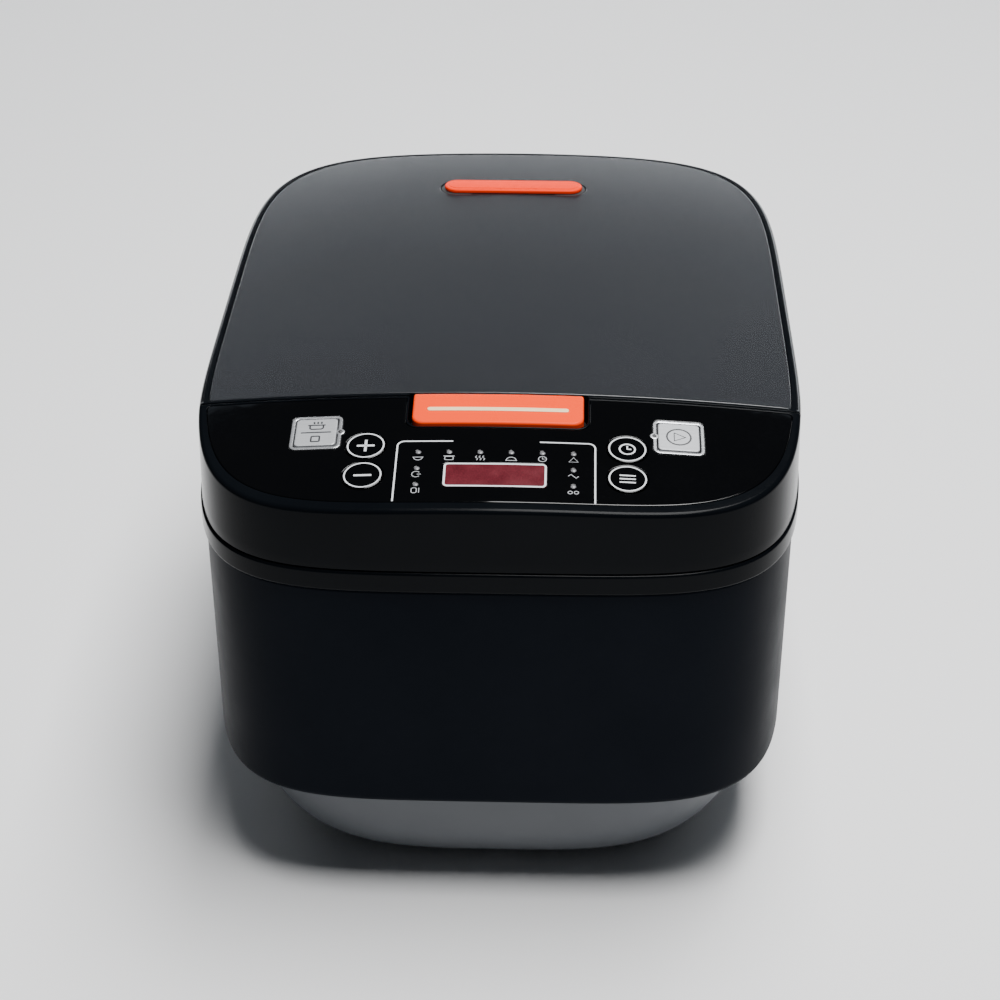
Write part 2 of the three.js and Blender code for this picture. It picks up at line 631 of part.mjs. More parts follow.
function consoleHousing() {
  const top = CROWN_Z + 20;
  const foot = TOP_Z + GAP;
  const reach = (top - foot) / LID_HEIGHT;
  let housing = consoleBlock(CONSOLE_BACK_Y, foot, 0)
    .intersect(prism(SKIRT_INSET, SKIRT_INSET + SKIRT_DRAFT * reach, foot, top));
  const inner = SKIRT_INSET + SKIRT_DRAFT + WALL;
  const under = FASCIA_THICKNESS + GAP + CONSOLE_SHEET;
  housing = housing.subtract(consoleBlock(CONSOLE_BACK_Y - WALL, foot - 5, under)
    .intersect(prism(inner, inner, foot - 5, top)));
  const inset = SKIRT_INSET + SKIRT_DRAFT + FASCIA_SIDE - GAP;
  const recess = prism(inset, inset, foot, top, FASCIA_FRONT - FASCIA_SIDE);
  housing = housing.subtract(consoleLayer(CONSOLE_BACK_Y - FASCIA_BACK + GAP, FASCIA_THICKNESS + GAP, -8)
    .intersect(recess));
  housing = housing.subtract(buttonPocket(BUTTON.gap, -BUTTON.thickness - BUTTON_TRAVEL - 4.5, 6));
  for (const x of Object.values(squareKeys)) {
    const size = SQUARE_KEY.size + 2 * SLIDE_GAP;
    housing = housing.subtract(seated(plate(roundedRect(size, size, 1.5), -9, 6, 2), x, SQUARE_KEY.v));
  }
  for (const [x, v] of Object.values(roundKeys)) {
    housing = housing.subtract(seated(post(ROUND_KEY.radius + SLIDE_GAP, -9, 6, 0, 0, 16), x, v));
  }
  housing = housing.subtract(seated(box(-DISPLAY.width / 2 + 1, DISPLAY.width / 2 - 1,
    -DISPLAY.depth / 2 + 1, DISPLAY.depth / 2 - 1, -9, 6), 0, DISPLAY_V));
  for (const [x, v] of pips) housing = housing.subtract(seated(post(PIP_RADIUS + 0.3, -9, 6, 0, 0, 6), x, v));
  return housing.subtract(solid(box(-LATCH.width / 2 - 1, LATCH.width / 2 + 1, CONSOLE_Y - 6, CONSOLE_Y + 2,
    LATCH.z + HOOK_REACH - 4.5, LATCH.z + HOOK_REACH + 6)));
}

const STEM_END = SWITCH.height + KEY_TRAVEL + SLIDE_GAP - BOARD_DEPTH;

function squareKey(x) {
  const { size, v } = SQUARE_KEY;
  const cap = plate(roundedRect(size, size, 1.5), -KEY_SKIRT - 1, KEY_RISE, 2);
  const stem = post(2.5, STEM_END, -KEY_SKIRT, 0, 0, 8);
  return joined(seated(cap, x, v), seated(stem, x, v));
}

function keyFrame(x) {
  const { size, frame, v } = SQUARE_KEY;
  const shape = roundedRect(frame, frame, 2.2);
  shape.holes.push(roundedRect(size + 2 * SLIDE_GAP, size + 2 * SLIDE_GAP, 1.6));
  return seated(plate(shape, -FASCIA_THICKNESS, 0.3, 2), x, v);
}

function roundKey([x, v]) {
  const cap = post(ROUND_KEY.radius, -KEY_SKIRT - 1, KEY_RISE, 0, 0, 16);
  const stem = post(2.5, STEM_END, -KEY_SKIRT, 0, 0, 8);
  return joined(seated(cap, x, v), seated(stem, x, v));
}

function displayWindow() {
  return seated(plate(roundedRect(DISPLAY.width, DISPLAY.depth, DISPLAY.corner), -FASCIA_THICKNESS, 0, 3),
    0, DISPLAY_V);
}

function displayModule() {
  return seated(box(-DISPLAY.width / 2 + 2, DISPLAY.width / 2 - 2,
    -DISPLAY.depth / 2 + 1.6, DISPLAY.depth / 2 - 1.6,
    GAP - BOARD_DEPTH, -FASCIA_THICKNESS - 1), 0, DISPLAY_V);
}

function lightGuide() {
  const [low, high] = [-8.2, -FASCIA_THICKNESS - CONSOLE_SHEET - 1.6];
  const row = 2.5 * PIP_PITCH;
  const bars = [box(-row - 2.5, row + 2.5, PIP_TOP_ROW - 2, PIP_TOP_ROW + 2, low, high)];
  for (const side of [-1, 1]) {
    const x = side * PIP_COLUMNS;
    bars.push(box(x - 2.2, x + 2.2, PIP_SIDE_ROWS[1] - 2, PIP_TOP_ROW, low, high));
  }
  const comb = joined(...bars.map((bar) => seated(bar, 0, 0)));
  return joined(comb, ...pips.map(([x, v]) => seated(post(PIP_RADIUS, low + 0.4, -0.15, 0, 0, 6), x, v)));
}

function controlBoard() {
  const half = SQUARE_KEY.x + SQUARE_KEY.size / 2;
  const shape = new THREE.Shape();
  const [front, back, notch] = [ROUND_KEY_V[1] - 9, SQUARE_KEY.v + 8, BUTTON_V - BUTTON.depth / 2 - 6];
  const notchX = BUTTON.width / 2 + 6;
  shape.moveTo(-half, front);
  shape.lineTo(half, front);
  shape.lineTo(half, back);
  shape.lineTo(notchX, back);
  shape.lineTo(notchX, notch);
  shape.lineTo(-notchX, notch);
  shape.lineTo(-notchX, back);
  shape.lineTo(-half, back);
  shape.closePath();
  let board = seated(plate(shape, -BOARD_DEPTH - BOARD_THICKNESS, -BOARD_DEPTH), 0, 0);
  const places = [...Object.values(squareKeys).map((x) => [x, SQUARE_KEY.v]), ...Object.values(roundKeys)];
  const h = SWITCH.size / 2;
  for (const [x, v] of places) {
    board = board.add(seated(box(-h, h, -h, h, -BOARD_DEPTH - 1, SWITCH.height - BOARD_DEPTH), x, v));
  }
  return board;
}

// ---------------------------------------------------------------- lid release

const STEM = { half: 4, tip: 1 };
const HOOK_ARM = 9.5;            // stem line in front of the hook's pivot
const HOOK_REACH = 11;           // nose above the hook's pivot

function releaseButton() {
  const shape = roundedRect(BUTTON.width, BUTTON.depth, BUTTON.corner);
  const cap = plate(shape, BUTTON.rise - BUTTON.thickness, BUTTON.rise, 3);
  const body = seated(cap, 0, BUTTON_V);
  const stemY = LATCH.y - HOOK_ARM;
  const stemTop = consoleTop(0, stemY) - 2;
  const stem = box(-STEM.half, STEM.half, stemY - STEM.tip, stemY + STEM.tip, LATCH.z + 6 + GAP, stemTop);
  return joined(body, solid(stem));
}

function latchHook() {
  const { y, z, width } = LATCH;
  const nose = CONSOLE_Y - 0.1 - y;
  const shape = new THREE.Shape();
  shape.moveTo(-HOOK_ARM - 4, 2);
  shape.lineTo(-6, 2);
  shape.lineTo(-3, -4);
  shape.lineTo(3, -4);
  shape.lineTo(4.4, 0);
  shape.lineTo(3, HOOK_REACH - 3);
  shape.lineTo(nose, HOOK_REACH - 2);
  shape.lineTo(nose, HOOK_REACH + 1);
  shape.lineTo(3, HOOK_REACH + 2);
  shape.lineTo(1, HOOK_REACH + 2);
  shape.lineTo(-3, 6);
  shape.lineTo(-HOOK_ARM - 4, 6);
  shape.closePath();
  const bore = new THREE.Path().absarc(0, 0, LATCH.pin + 0.15, 0, 2 * Math.PI, true);
  shape.holes.push(bore);
  const hook = new THREE.ExtrudeGeometry(shape, { depth: width, bevelEnabled: false, curveSegments: 12 });
  const turn = new THREE.Matrix4().makeBasis(new THREE.Vector3(0, 1, 0), new THREE.Vector3(0, 0, 1),
    new THREE.Vector3(1, 0, 0));
  return hook.applyMatrix4(turn).translate(-width / 2, y, z);
}

function latchSpring() {
  const low = DECK_Z + GAP + 0.6;
  const high = LATCH.z + 2 - 0.9;
  return tube(coil(2.8, low, high, 4, 6), 0.5, 24, 4).translate(0, LATCH.y - HOOK_ARM - 0.5, 0);
}

// ---------------------------------------------------------------- heating and pot

function innerLiner() {
  const low = PLATE_Z - 4;
  const outer = LINER_OUTER;
  return turnedRing([
    [PLATE_RADIUS + 2, low], [outer - 8, low], [outer, low + 8], [outer, LINER_FLANGE_Z],
    [outer + LINER_FLANGE, LINER_FLANGE_Z], [outer + LINER_FLANGE, LINER_FLANGE_Z + LINER_WALL],
    [LINER_RADIUS, LINER_FLANGE_Z + LINER_WALL], [LINER_RADIUS, low + 8.5], [outer - 8.5, low + LINER_WALL],
    [PLATE_RADIUS + 2, low + LINER_WALL],
  ], 0, POT_Y, 30);
}

const PLATE_RISE = 3;             // underside of the plate, higher at its middle

/** Height of the plate's underside at a radius. */
function plateUnder(radius) {
  const [inner, outer] = [SENSOR_RADIUS + 2, PLATE_RADIUS - 6];
  return PLATE_Z - PLATE_THICKNESS + (PLATE_RISE * (outer - radius)) / (outer - inner);
}

function heatingPlate() {
  const low = PLATE_Z - PLATE_THICKNESS;
  return turnedRing([
    [SENSOR_RADIUS + 2, low + PLATE_RISE], [PLATE_RADIUS - 6, low], [PLATE_RADIUS, low + 5],
    [PLATE_RADIUS, PLATE_Z - 1.5], [PLATE_RADIUS - 1.5, PLATE_Z], [SENSOR_RADIUS + 2, PLATE_Z],
  ], 0, POT_Y, 30);
}

function heatingElement() {
  const z = plateUnder(ELEMENT_RING + ELEMENT_RADIUS) - ELEMENT_RADIUS - GAP;
  const points = spaced(-60, 240, 20).map((degrees) => {
    const angle = THREE.MathUtils.degToRad(degrees);
    return new THREE.Vector3(ELEMENT_RING * Math.cos(angle), POT_Y + ELEMENT_RING * Math.sin(angle), z);
  });
  return tube(points, ELEMENT_RADIUS, 24, 6);
}

function platePost([x, y]) {
  const [low, high] = [FLOOR_Z + GAP, PLATE_Z - PLATE_THICKNESS - GAP];
  return turnedRing([[POST_BORE, low], [POST_RADIUS, low], [POST_RADIUS, high], [POST_BORE, high]], x, y, 16);
}

function postScrew([x, y]) {
  const head = BASE_Z - GAP;
  const tip = PLATE_Z - PLATE_THICKNESS - 4;
  return turned([[0, head - 2], [3, head - 2], [3.8, head - 1], [3.8, head], [POST_SCREW_RADIUS, head],
    [POST_SCREW_RADIUS, tip - 2], [0.8, tip], [0, tip]], x, y, 12);
}

function innerPot() {
  const r = POT_RADIUS;
  const inner = r - POT_WALL;
  const c = POT_CORNER;
  const d = c * 0.3;
  return turned([
    [0, POT_BOTTOM], [r - c, POT_BOTTOM], [r - d, POT_BOTTOM + d], [r, POT_BOTTOM + c], [r, POT_RIM_Z],
    [r + POT_RIM, POT_RIM_Z], [r + POT_RIM, POT_TOP], [inner, POT_TOP], [inner, POT_BOTTOM + c],
    [inner - d, POT_BOTTOM + POT_WALL + d], [r - c, POT_BOTTOM + POT_WALL], [0, POT_BOTTOM + POT_WALL],
  ], 0, POT_Y, 36);
}

const SENSOR_SKIRT = PLATE_Z - 9;

function sensorCup() {
  const r = SENSOR_RADIUS;
  const foot = FLOOR_Z + SENSOR_TRAVEL + 3;
  return turned([[0, foot], [5, foot], [5, SENSOR_SKIRT], [r, SENSOR_SKIRT], [r, PLATE_Z - 0.8],
    [r - 0.8, PLATE_Z], [0, PLATE_Z]], 0, POT_Y, 24);
}

function sensorGuide() {
  const top = SENSOR_SKIRT - 10;
  return turnedRing([[5.5, FLOOR_Z + GAP], [12, FLOOR_Z + GAP], [12, FLOOR_Z + 2], [8, FLOOR_Z + 3], [8, top],
    [5.5, top]], 0, POT_Y, 20);
}

function sensorSpring() {
  const low = SENSOR_SKIRT - 9.2;
  return tube(coil(7.2, low, SENSOR_SKIRT - 0.8, 3, 6), 0.5, 18, 4).translate(0, POT_Y, 0);
}

// ---------------------------------------------------------------- electrics in the base

const BOARD_SIDE = 25;            // power board inside the floor's edge at each side
const BOARD = {
  width: 2 * (FLOOR_A - BOARD_SIDE), depth: 46, thickness: 1.6, y: 78.5 - HALF_DEPTH, z: FLOOR_Z + 6.5,
};

function powerBoard() {
  const { width, depth, y, z, thickness } = BOARD;
  const x = width / 2;
  const top = z + thickness;
  const shapes = [box(-x, x, y - depth / 2, y + depth / 2, z, top)];
  for (const sx of [-1, 1]) {
    for (const sy of [-1, 1]) {
      shapes.push(post(3, FLOOR_Z + GAP, z + 0.5, sx * (x - 6), y + sy * (depth / 2 - 6), 8));
    }
  }
  const [transformer, relay, capacitor, sink] = [-0.63 * x, -0.1 * x, 0.31 * x, 0.57 * x];
  shapes.push(box(transformer - 14, transformer + 14, y - 14, y + 10, top - 0.5, top + 20));
  shapes.push(box(relay - 11, relay + 11, y - 10, y + 8, top - 0.5, top + 16));
  shapes.push(post(8, top - 0.5, top + 20, capacitor, y - 4, 16));
  shapes.push(box(sink - 2, sink + 2, y - 16, y + 14, top - 0.5, top + 18));
  return joined(...shapes.map((shape) => solid(shape)));
}

const FUSE = { radius: 2.5, length: 18 };

function thermalFuse() {
  const ring = (SENSOR_RADIUS + ELEMENT_RING - ELEMENT_RADIUS) / 2;
  const z = plateUnder(ring + FUSE.radius) - FUSE.radius - GAP;
  return rod(FUSE.radius, -FUSE.length / 2, FUSE.length / 2, POT_Y + ring, z, 10);
}

function wiringLoom() {
  const z = FLOOR_Z + 6;
  const backY = INLET_BACK - INLET.depth - 5;
  const boardY = BOARD.y + BOARD.depth / 2 + 4;
  const x = POST_RING * Math.cos(Math.PI / 6) - 12;
  const points = [
    [INLET.x, backY, INLET.z - 6], [INLET.x, backY, SHELL_Z + 4], [INLET.x + 4, backY - 12, z + 4],
    [(INLET.x + 4 + x) / 2, (backY - 12 + POT_Y + 40) / 2, z + 1.5], [x, POT_Y + 40, z], [x, POT_Y, z],
    [x - 4, POT_Y - 60, z], [x - 10, boardY, z + 1],
  ];
  return tube(points.map((point) => new THREE.Vector3(...point)), 2.5, 24, 6);
}

// ---------------------------------------------------------------- lid

const SKIRT_FOOT = TOP_Z + 0.6;
const panelInset = SKIRT_INSET + SKIRT_DRAFT + FRAME_SIDE;
const VENT_CUT = { length: VENT.length + 2 * SLIDE_GAP, width: VENT.width + 2 * SLIDE_GAP };

function ventHole(z0, z1) {
  return solid(plate(roundedRect(VENT_CUT.length, VENT_CUT.width, VENT_CUT.width / 2, 0, VENT_Y), z0, z1, 5));
}

function lidPrism(extra, back = 0) {
  const reach = (CROWN_Z + 20 - SKIRT_FOOT) / LID_HEIGHT;
  const foot = SKIRT_INSET + extra;
  return prism(foot, foot + SKIRT_DRAFT * reach, SKIRT_FOOT - 6, CROWN_Z + 20, back);
}

function lidShell() {
  const depth = PANEL_THICKNESS + LID_SHEET;
  let lid = lidBlock(LID_FRONT_Y, SKIRT_FOOT, 0).intersect(lidPrism(0));
  lid = lid.subtract(lidBlock(LID_FRONT_Y + LID_FRONT_WALL, SKIRT_FOOT - 5, depth).intersect(lidPrism(WALL)));
  const inset = panelInset - PANEL_CLEARANCE;
  const recess = lidBlock(LID_FRONT_Y + FRAME_FRONT - PANEL_CLEARANCE, SKIRT_FOOT, -8)
    .subtract(lidBlock(LID_FRONT_Y - 20, SKIRT_FOOT - 5, PANEL_THICKNESS));
  lid = lid.subtract(recess.intersect(prism(inset, inset, SKIRT_FOOT, CROWN_Z + 20)));
  lid = lid.subtract(ventHole(TOP_Z, CROWN_Z + 10));
  const notch = BUTTON.width / 2 + BUTTON.gap;
  lid = lid.subtract(solid(box(-notch, notch, LID_FRONT_Y - 5, buttonBackY + 1.3,
    SKIRT_FOOT - 5, CROWN_Z + 10)));
  lid = lid.subtract(solid(box(-LATCH.width / 2 - 1, LATCH.width / 2 + 1, LID_FRONT_Y - 2, LID_FRONT_Y + 6,
    LATCH.z + HOOK_REACH - 4.5, LATCH.z + HOOK_REACH + 6)));
  return lidHinge(lid);
}

/** Rounds the lid's rear foot about the hinge axis, adds its knuckles and clears the lugs and the spring. */
function lidHinge(lid) {
  const reach = LUG_X - LUG_WIDTH / 2 - SLIDE_GAP;
  const wide = HALF_WIDTH + 5;
  const corner = solid(box(-wide, wide, HINGE_Y, HALF_DEPTH + 5, SKIRT_FOOT - 10, HINGE_Z))
    .subtract(solid(rod(KNUCKLE_RADIUS, -wide - 1, wide + 1, HINGE_Y, HINGE_Z, 14)));
  let shell = lid.subtract(corner);
  const barrel = rod(KNUCKLE_RADIUS, -reach, reach, HINGE_Y, HINGE_Z, 14);
  const web = box(-reach, reach, HINGE_Y - 1, HINGE_Y + 1.4, HINGE_Z, HINGE_Z + 10);
  shell = shell.add(solid(barrel)).add(solid(web));
  shell = shell.subtract(solid(rod(SHAFT_RADIUS + 0.1, -wide, wide, HINGE_Y, HINGE_Z, 14)));
  for (const side of [-1, 1]) {
    const x0 = side * LUG_X - LUG_WIDTH / 2 - SLIDE_GAP;
    shell = shell.subtract(solid(box(x0, x0 + LUG_WIDTH + 2 * SLIDE_GAP, HINGE_Y - 8, HALF_DEPTH + 5,
      SKIRT_FOOT - 10, HINGE_Z + KNUCKLE_RADIUS + 1)));
  }
  return shell.subtract(solid(box(-SPRING_SLOT / 2, SPRING_SLOT / 2, HINGE_Y - 8, HALF_DEPTH + 5,
    SKIRT_FOOT - 10, HINGE_Z + KNUCKLE_RADIUS + 0.6)));
}

function lidPanel() {
  const sheet = lidBlock(LID_FRONT_Y + FRAME_FRONT, SKIRT_FOOT, 0)
    .subtract(lidBlock(LID_FRONT_Y - 20, SKIRT_FOOT - 5, PANEL_THICKNESS - GAP));
  const panel = sheet.intersect(prism(panelInset, panelInset, SKIRT_FOOT, CROWN_Z + 20));
  return panel.subtract(ventHole(TOP_Z, CROWN_Z + 10));
}

const INNER_FRAME_Z = POT_TOP + 3;

function lidInnerFrame() {
  const inset = SKIRT_INSET + SKIRT_DRAFT + WALL + 1;
  const [low, high] = [INNER_FRAME_Z, INNER_FRAME_Z + FRAME_THICKNESS];
  const front = LID_FRONT_Y + LID_FRONT_WALL + 0.6;
  const slice = solid(box(-HALF_WIDTH, HALF_WIDTH, front, HINGE_Y - KNUCKLE_RADIUS - 3, low, high));
  let frame = prism(inset, inset, low - 1, high + 1).intersect(slice);
  const ceiling = lidTop(0, VENT_Y) - VENT.depth - 1;
  frame = frame.add(solid(post(VALVE_RADIUS + 3, high - 0.5, ceiling, 0, VENT_Y, 20)));
  return frame.subtract(solid(post(VALVE_RADIUS + SLIDE_GAP, low - 5, ceiling + 5, 0, VENT_Y, 20)));
}

const COVER_RADIUS = POT_RADIUS - 3;

function coverDisc() {
  const z = INNER_FRAME_Z - GAP;
  return turned([[0, z - 3.2], [COVER_RADIUS - 10, z - 3.2], [COVER_RADIUS - 6, z - 1.6],
    [COVER_RADIUS, z - 1.6], [COVER_RADIUS, z - 0.6], [COVER_RADIUS - 6.5, z - 0.6],
    [COVER_RADIUS - 10.5, z - 2.2], [0, z - 2.2]], 0, POT_Y, 30);
}

function innerLidPlate() {
  let cover = solid(coverDisc());
  const z = INNER_FRAME_Z;
  for (const [dx, dy] of [[-9, 0], [0, 0], [9, 0], [-4.5, -8], [4.5, -8]]) {
    cover = cover.subtract(solid(post(2, z - 8, z + 4, dx, VENT_Y - VALVE_RADIUS - 1 + dy, 8)));
  }
  return cover;
}

function lidGasket() {
  const low = POT_TOP + GAP;
  const high = INNER_FRAME_Z - GAP;
  const inner = COVER_RADIUS + GAP;
  return turnedRing([[inner, low + 0.6], [inner + 1.2, low], [inner + GASKET_SECTION - 1, low],
    [inner + GASKET_SECTION, low + 1], [inner + GASKET_SECTION, high], [inner, high]], 0, POT_Y, 30);
}

const ventTop = lidTop(0, VENT_Y);

function steamValve() {
  const low = INNER_FRAME_Z + 0.5;
  const high = ventTop - VENT.depth - GAP;
  const r = VALVE_RADIUS;
  return turnedRing([[4, low], [r, low], [r, high - 4], [r - 2, high], [4, high]], 0, VENT_Y, 20);
}

function steamVentCap() {
  const top = ventTop - 1.4;
  const low = ventTop - VENT.depth;
  const shape = roundedRect(VENT.length, VENT.width, VENT.width / 2, 0, VENT_Y);
  let cap = solid(plate(shape, low, top, 5));
  const [length, width] = [VENT.length - 2 * VENT.wall, VENT.width - 2 * VENT.wall];
  cap = cap.subtract(solid(plate(roundedRect(length, width, width / 2, 0, VENT_Y), low - 1, top - 2.4, 5)));
  for (const side of [-1, 1]) {
    const y = VENT_Y + (side * (VENT_TRIM.width + width)) / 4;
    cap = cap.subtract(solid(box(-24, 24, y - 0.4, y + 0.4, low, top + 2)));
  }
  return cap;
}

function ventTrim() {
  const top = ventTop - 1.4 + GAP;
  const shape = roundedRect(VENT_TRIM.length, VENT_TRIM.width, VENT_TRIM.width / 2, 0, VENT_Y);
  return plate(shape, top, top + VENT_TRIM.thickness, 5);
}

function lidCatch() {
  const y = LID_FRONT_Y + LID_FRONT_WALL + GAP;
  const z = LATCH.z + HOOK_REACH + 1;
  const window = LATCH.width / 2 + 1.5;
  const sheet = solid(box(-14, 14, y, y + 1.2, z - 11, z + 10));
  return sheet.subtract(solid(box(-window, window, y - 1, y + 3, z - 5, z + 5)));
}

function hingeShaft() {
  const end = LUG_X + LUG_WIDTH / 2 + 1.5;
  return rod(SHAFT_RADIUS, -end, end, HINGE_Y, HINGE_Z, 14);
}

function hingeSpring() {
  const half = SPRING_SLOT / 2 - 2;
  return tube(coil(2.6, -half, half, 6, 6), 0.45, 36, 4).rotateY(Math.PI / 2).translate(0, HINGE_Y, HINGE_Z);
}

// ---------------------------------------------------------------- the whole cooker

add(bodyGroup, 'base_tray', baseTray(), 'base');
for (const [place, sx, sy] of [['front_left', -1, -1], ['front_right', 1, -1], ['rear_left', -1, 1],
  ['rear_right', 1, 1]]) {
  add(bodyGroup, `foot_${place}`, foot(sx * (FLOOR_A - FOOT_INSET), sy * (FLOOR_B - FOOT_INSET)), 'rubber');
}
add(bodyGroup, 'outer_shell', outerShell(), 'shell');
add(bodyGroup, 'trim_band', trimBand(), 'gloss');
add(bodyGroup, 'deck_plate', deckPlate(), 'part');
add(bodyGroup, 'hinge_lug_left', hingeLug(-1), 'steel');
add(bodyGroup, 'hinge_lug_right', hingeLug(1), 'steel');
add(bodyGroup, 'power_inlet', powerInlet(), 'part');
add(bodyGroup, 'inlet_screw_left', inletScrew(-1), 'steel');
add(bodyGroup, 'inlet_screw_right', inletScrew(1), 'steel');
add(bodyGroup, 'power_board', powerBoard(), 'board');
add(bodyGroup, 'wiring_loom', wiringLoom(), 'wire');

add(consoleGroup, 'console_housing', consoleHousing(), 'gloss');
add(consoleGroup, 'control_fascia', controlFascia(), 'gloss');
add(consoleGroup, 'display_window', displayWindow(), 'lens');
add(consoleGroup, 'display_module', displayModule(), 'part');
add(consoleGroup, 'control_board', controlBoard(), 'board');
add(consoleGroup, 'light_guide', lightGuide(), 'white');
for (const [name, x] of Object.entries(squareKeys)) {
  add(consoleGroup, `${name}_key`, squareKey(x), 'silver');
  add(consoleGroup, `${name}_key_frame`, keyFrame(x), 'silver');
}
for (const [name, place] of Object.entries(roundKeys)) add(consoleGroup, name, roundKey(place), 'gloss');
add(consoleGroup, 'release_button', releaseButton(), 'orange');
add(consoleGroup, 'latch_hook', latchHook(), 'steel');
const pinEnd = LATCH.halfWidth + 3;
add(consoleGroup, 'latch_pin', rod(LATCH.pin, -pinEnd, pinEnd, LATCH.y, LATCH.z), 'steel');
add(consoleGroup, 'latch_spring', latchSpring(), 'spring');

add(heatGroup, 'inner_liner', innerLiner(), 'aluminium');
add(heatGroup, 'heating_plate', heatingPlate(), 'aluminium');
add(heatGroup, 'heating_element', heatingElement(), 'steel');
postPlaces.forEach((place, i) => {
  add(heatGroup, `plate_post_${i + 1}`, platePost(place), 'steel');
  add(heatGroup, `post_screw_${i + 1}`, postScrew(place), 'steel');
});
add(heatGroup, 'sensor_cup', sensorCup(), 'aluminium');
add(heatGroup, 'sensor_guide', sensorGuide(), 'part');
add(heatGroup, 'sensor_spring', sensorSpring(), 'spring');
add(heatGroup, 'thermal_fuse', thermalFuse(), 'white');
add(heatGroup, 'inner_pot', innerPot(), 'coating');

add(lidGroup, 'lid_shell', lidShell(), 'gloss');
add(lidGroup, 'lid_panel', lidPanel(), 'matte');
add(lidGroup, 'lid_inner_frame', lidInnerFrame(), 'part');
add(lidGroup, 'inner_lid_plate', innerLidPlate(), 'aluminium');
add(lidGroup, 'lid_gasket', lidGasket(), 'silicone');
add(lidGroup, 'steam_valve', steamValve(), 'part');
add(lidGroup, 'steam_vent_cap', steamVentCap(), 'part');
add(lidGroup, 'vent_trim', ventTrim(), 'orange');
add(lidGroup, 'lid_catch', lidCatch(), 'steel');
add(lidGroup, 'hinge_shaft', hingeShaft(), 'steel');
add(lidGroup, 'hinge_spring', hingeSpring(), 'spring');

export default cooker;
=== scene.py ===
"""Looks of the countertop multicooker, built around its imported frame.

Sizes inside this script are in millimetres and become metres when a piece's mesh is made. The front faces -Y.
"""

import json
import math

import bmesh
import bpy
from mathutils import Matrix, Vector
from mathutils.geometry import delaunay_2d_cdt


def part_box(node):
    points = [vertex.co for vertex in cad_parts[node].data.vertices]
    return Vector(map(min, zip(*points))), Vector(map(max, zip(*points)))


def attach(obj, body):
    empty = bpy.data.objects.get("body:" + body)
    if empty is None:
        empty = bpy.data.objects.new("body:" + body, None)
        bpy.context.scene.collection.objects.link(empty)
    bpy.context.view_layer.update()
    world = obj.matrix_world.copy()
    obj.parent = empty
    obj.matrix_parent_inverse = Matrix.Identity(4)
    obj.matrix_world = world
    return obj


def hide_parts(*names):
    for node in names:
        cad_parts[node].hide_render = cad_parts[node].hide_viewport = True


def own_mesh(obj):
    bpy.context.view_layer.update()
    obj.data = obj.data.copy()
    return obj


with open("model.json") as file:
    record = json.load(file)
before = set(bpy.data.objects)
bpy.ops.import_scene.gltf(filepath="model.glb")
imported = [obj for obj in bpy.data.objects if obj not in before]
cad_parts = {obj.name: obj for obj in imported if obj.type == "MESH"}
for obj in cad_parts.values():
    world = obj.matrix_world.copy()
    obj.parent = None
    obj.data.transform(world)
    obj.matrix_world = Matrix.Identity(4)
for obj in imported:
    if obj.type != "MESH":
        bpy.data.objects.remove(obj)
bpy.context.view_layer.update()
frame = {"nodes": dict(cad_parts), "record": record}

MM = 0.001
TAU = 2 * math.pi


# ------------------------------------------------------------------ places taken from the frame


def node_box(name):
    """Lowest and highest corner of a frame node, in millimetres."""
    low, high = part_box(name)
    return [c / MM for c in low], [c / MM for c in high]


def middle(name):
    """The middle of a frame node, in millimetres."""
    return [(a + b) / 2 for a, b in zip(*node_box(name))]


def half_depth_of(name):
    """Half of a frame node's size along y: the radius of a round one."""
    low, high = node_box(name)
    return (high[1] - low[1]) / 2


band_low, band_high = node_box("trim_band")
shell_low, shell_high = node_box("outer_shell")
base_low, base_high = node_box("base_tray")
lid_low, lid_high = node_box("lid_shell")
console_low, console_high = node_box("console_housing")
button_low, button_high = node_box("release_button")
tray_low, tray_high = node_box("steam_vent_cap")
pot_low, pot_high = node_box("inner_pot")
liner_low, liner_high = node_box("inner_liner")
gasket_low, gasket_high = node_box("lid_gasket")
shaft_low, shaft_high = node_box("hinge_shaft")

HALF_WIDTH = band_high[0]
HALF_DEPTH = band_high[1]
TOP_Z = band_high[2]
CROWN_Z = lid_high[2]
LID_FRONT_Y = lid_low[1]
CONSOLE_BACK_Y = console_high[1]
SEAM_Y = (LID_FRONT_Y + CONSOLE_BACK_Y) / 2
HINGE_Y, HINGE_Z = middle("hinge_shaft")[1:]
POT_Y = middle("inner_pot")[1]
VENT_Y = middle("vent_trim")[1]

# ------------------------------------------------------------------ sizes shared by several pieces

CORNER_POWER = 4.9
BASE_POWER = 3.52
CROWN_DROP = 6.9
REAR_DROP = 2.6
TILT = math.radians(10.2)
SIDE_INSET = 0.7
SIDE_DRAFT = 0.8
SIDE_HEIGHT = 45.0
PANEL_INSET = 5.7
PANEL_FRONT = 2.2
FASCIA_SIDE = 3.2
FASCIA_FRONT = 5.4
FASCIA_BACK = 1.2
ARC_POINTS = 260
LINE_POINTS = 60
FINE_STEPS = 1800
CORNER_POINTS = 5
NOTCH_HALF = 39.3
NOTCH_RADIUS = 5.6
KNUCKLE_RADIUS = 3.5
SHARP_ANGLE = 38.0

SQUARE_KEY_SIZE = 17.9
SQUARE_FRAME_SIZE = 22.2
ROUND_KEY_RADIUS = 8.8


def crown(x):
    return CROWN_DROP * (x / HALF_WIDTH) ** 2


def lid_top(x, y):
    return CROWN_Z - crown(x) - REAR_DROP * max(0.0, y / HALF_DEPTH) ** 3


def console_top(x, y):
    return CROWN_Z - crown(x) - math.tan(TILT) * (SEAM_Y - y)


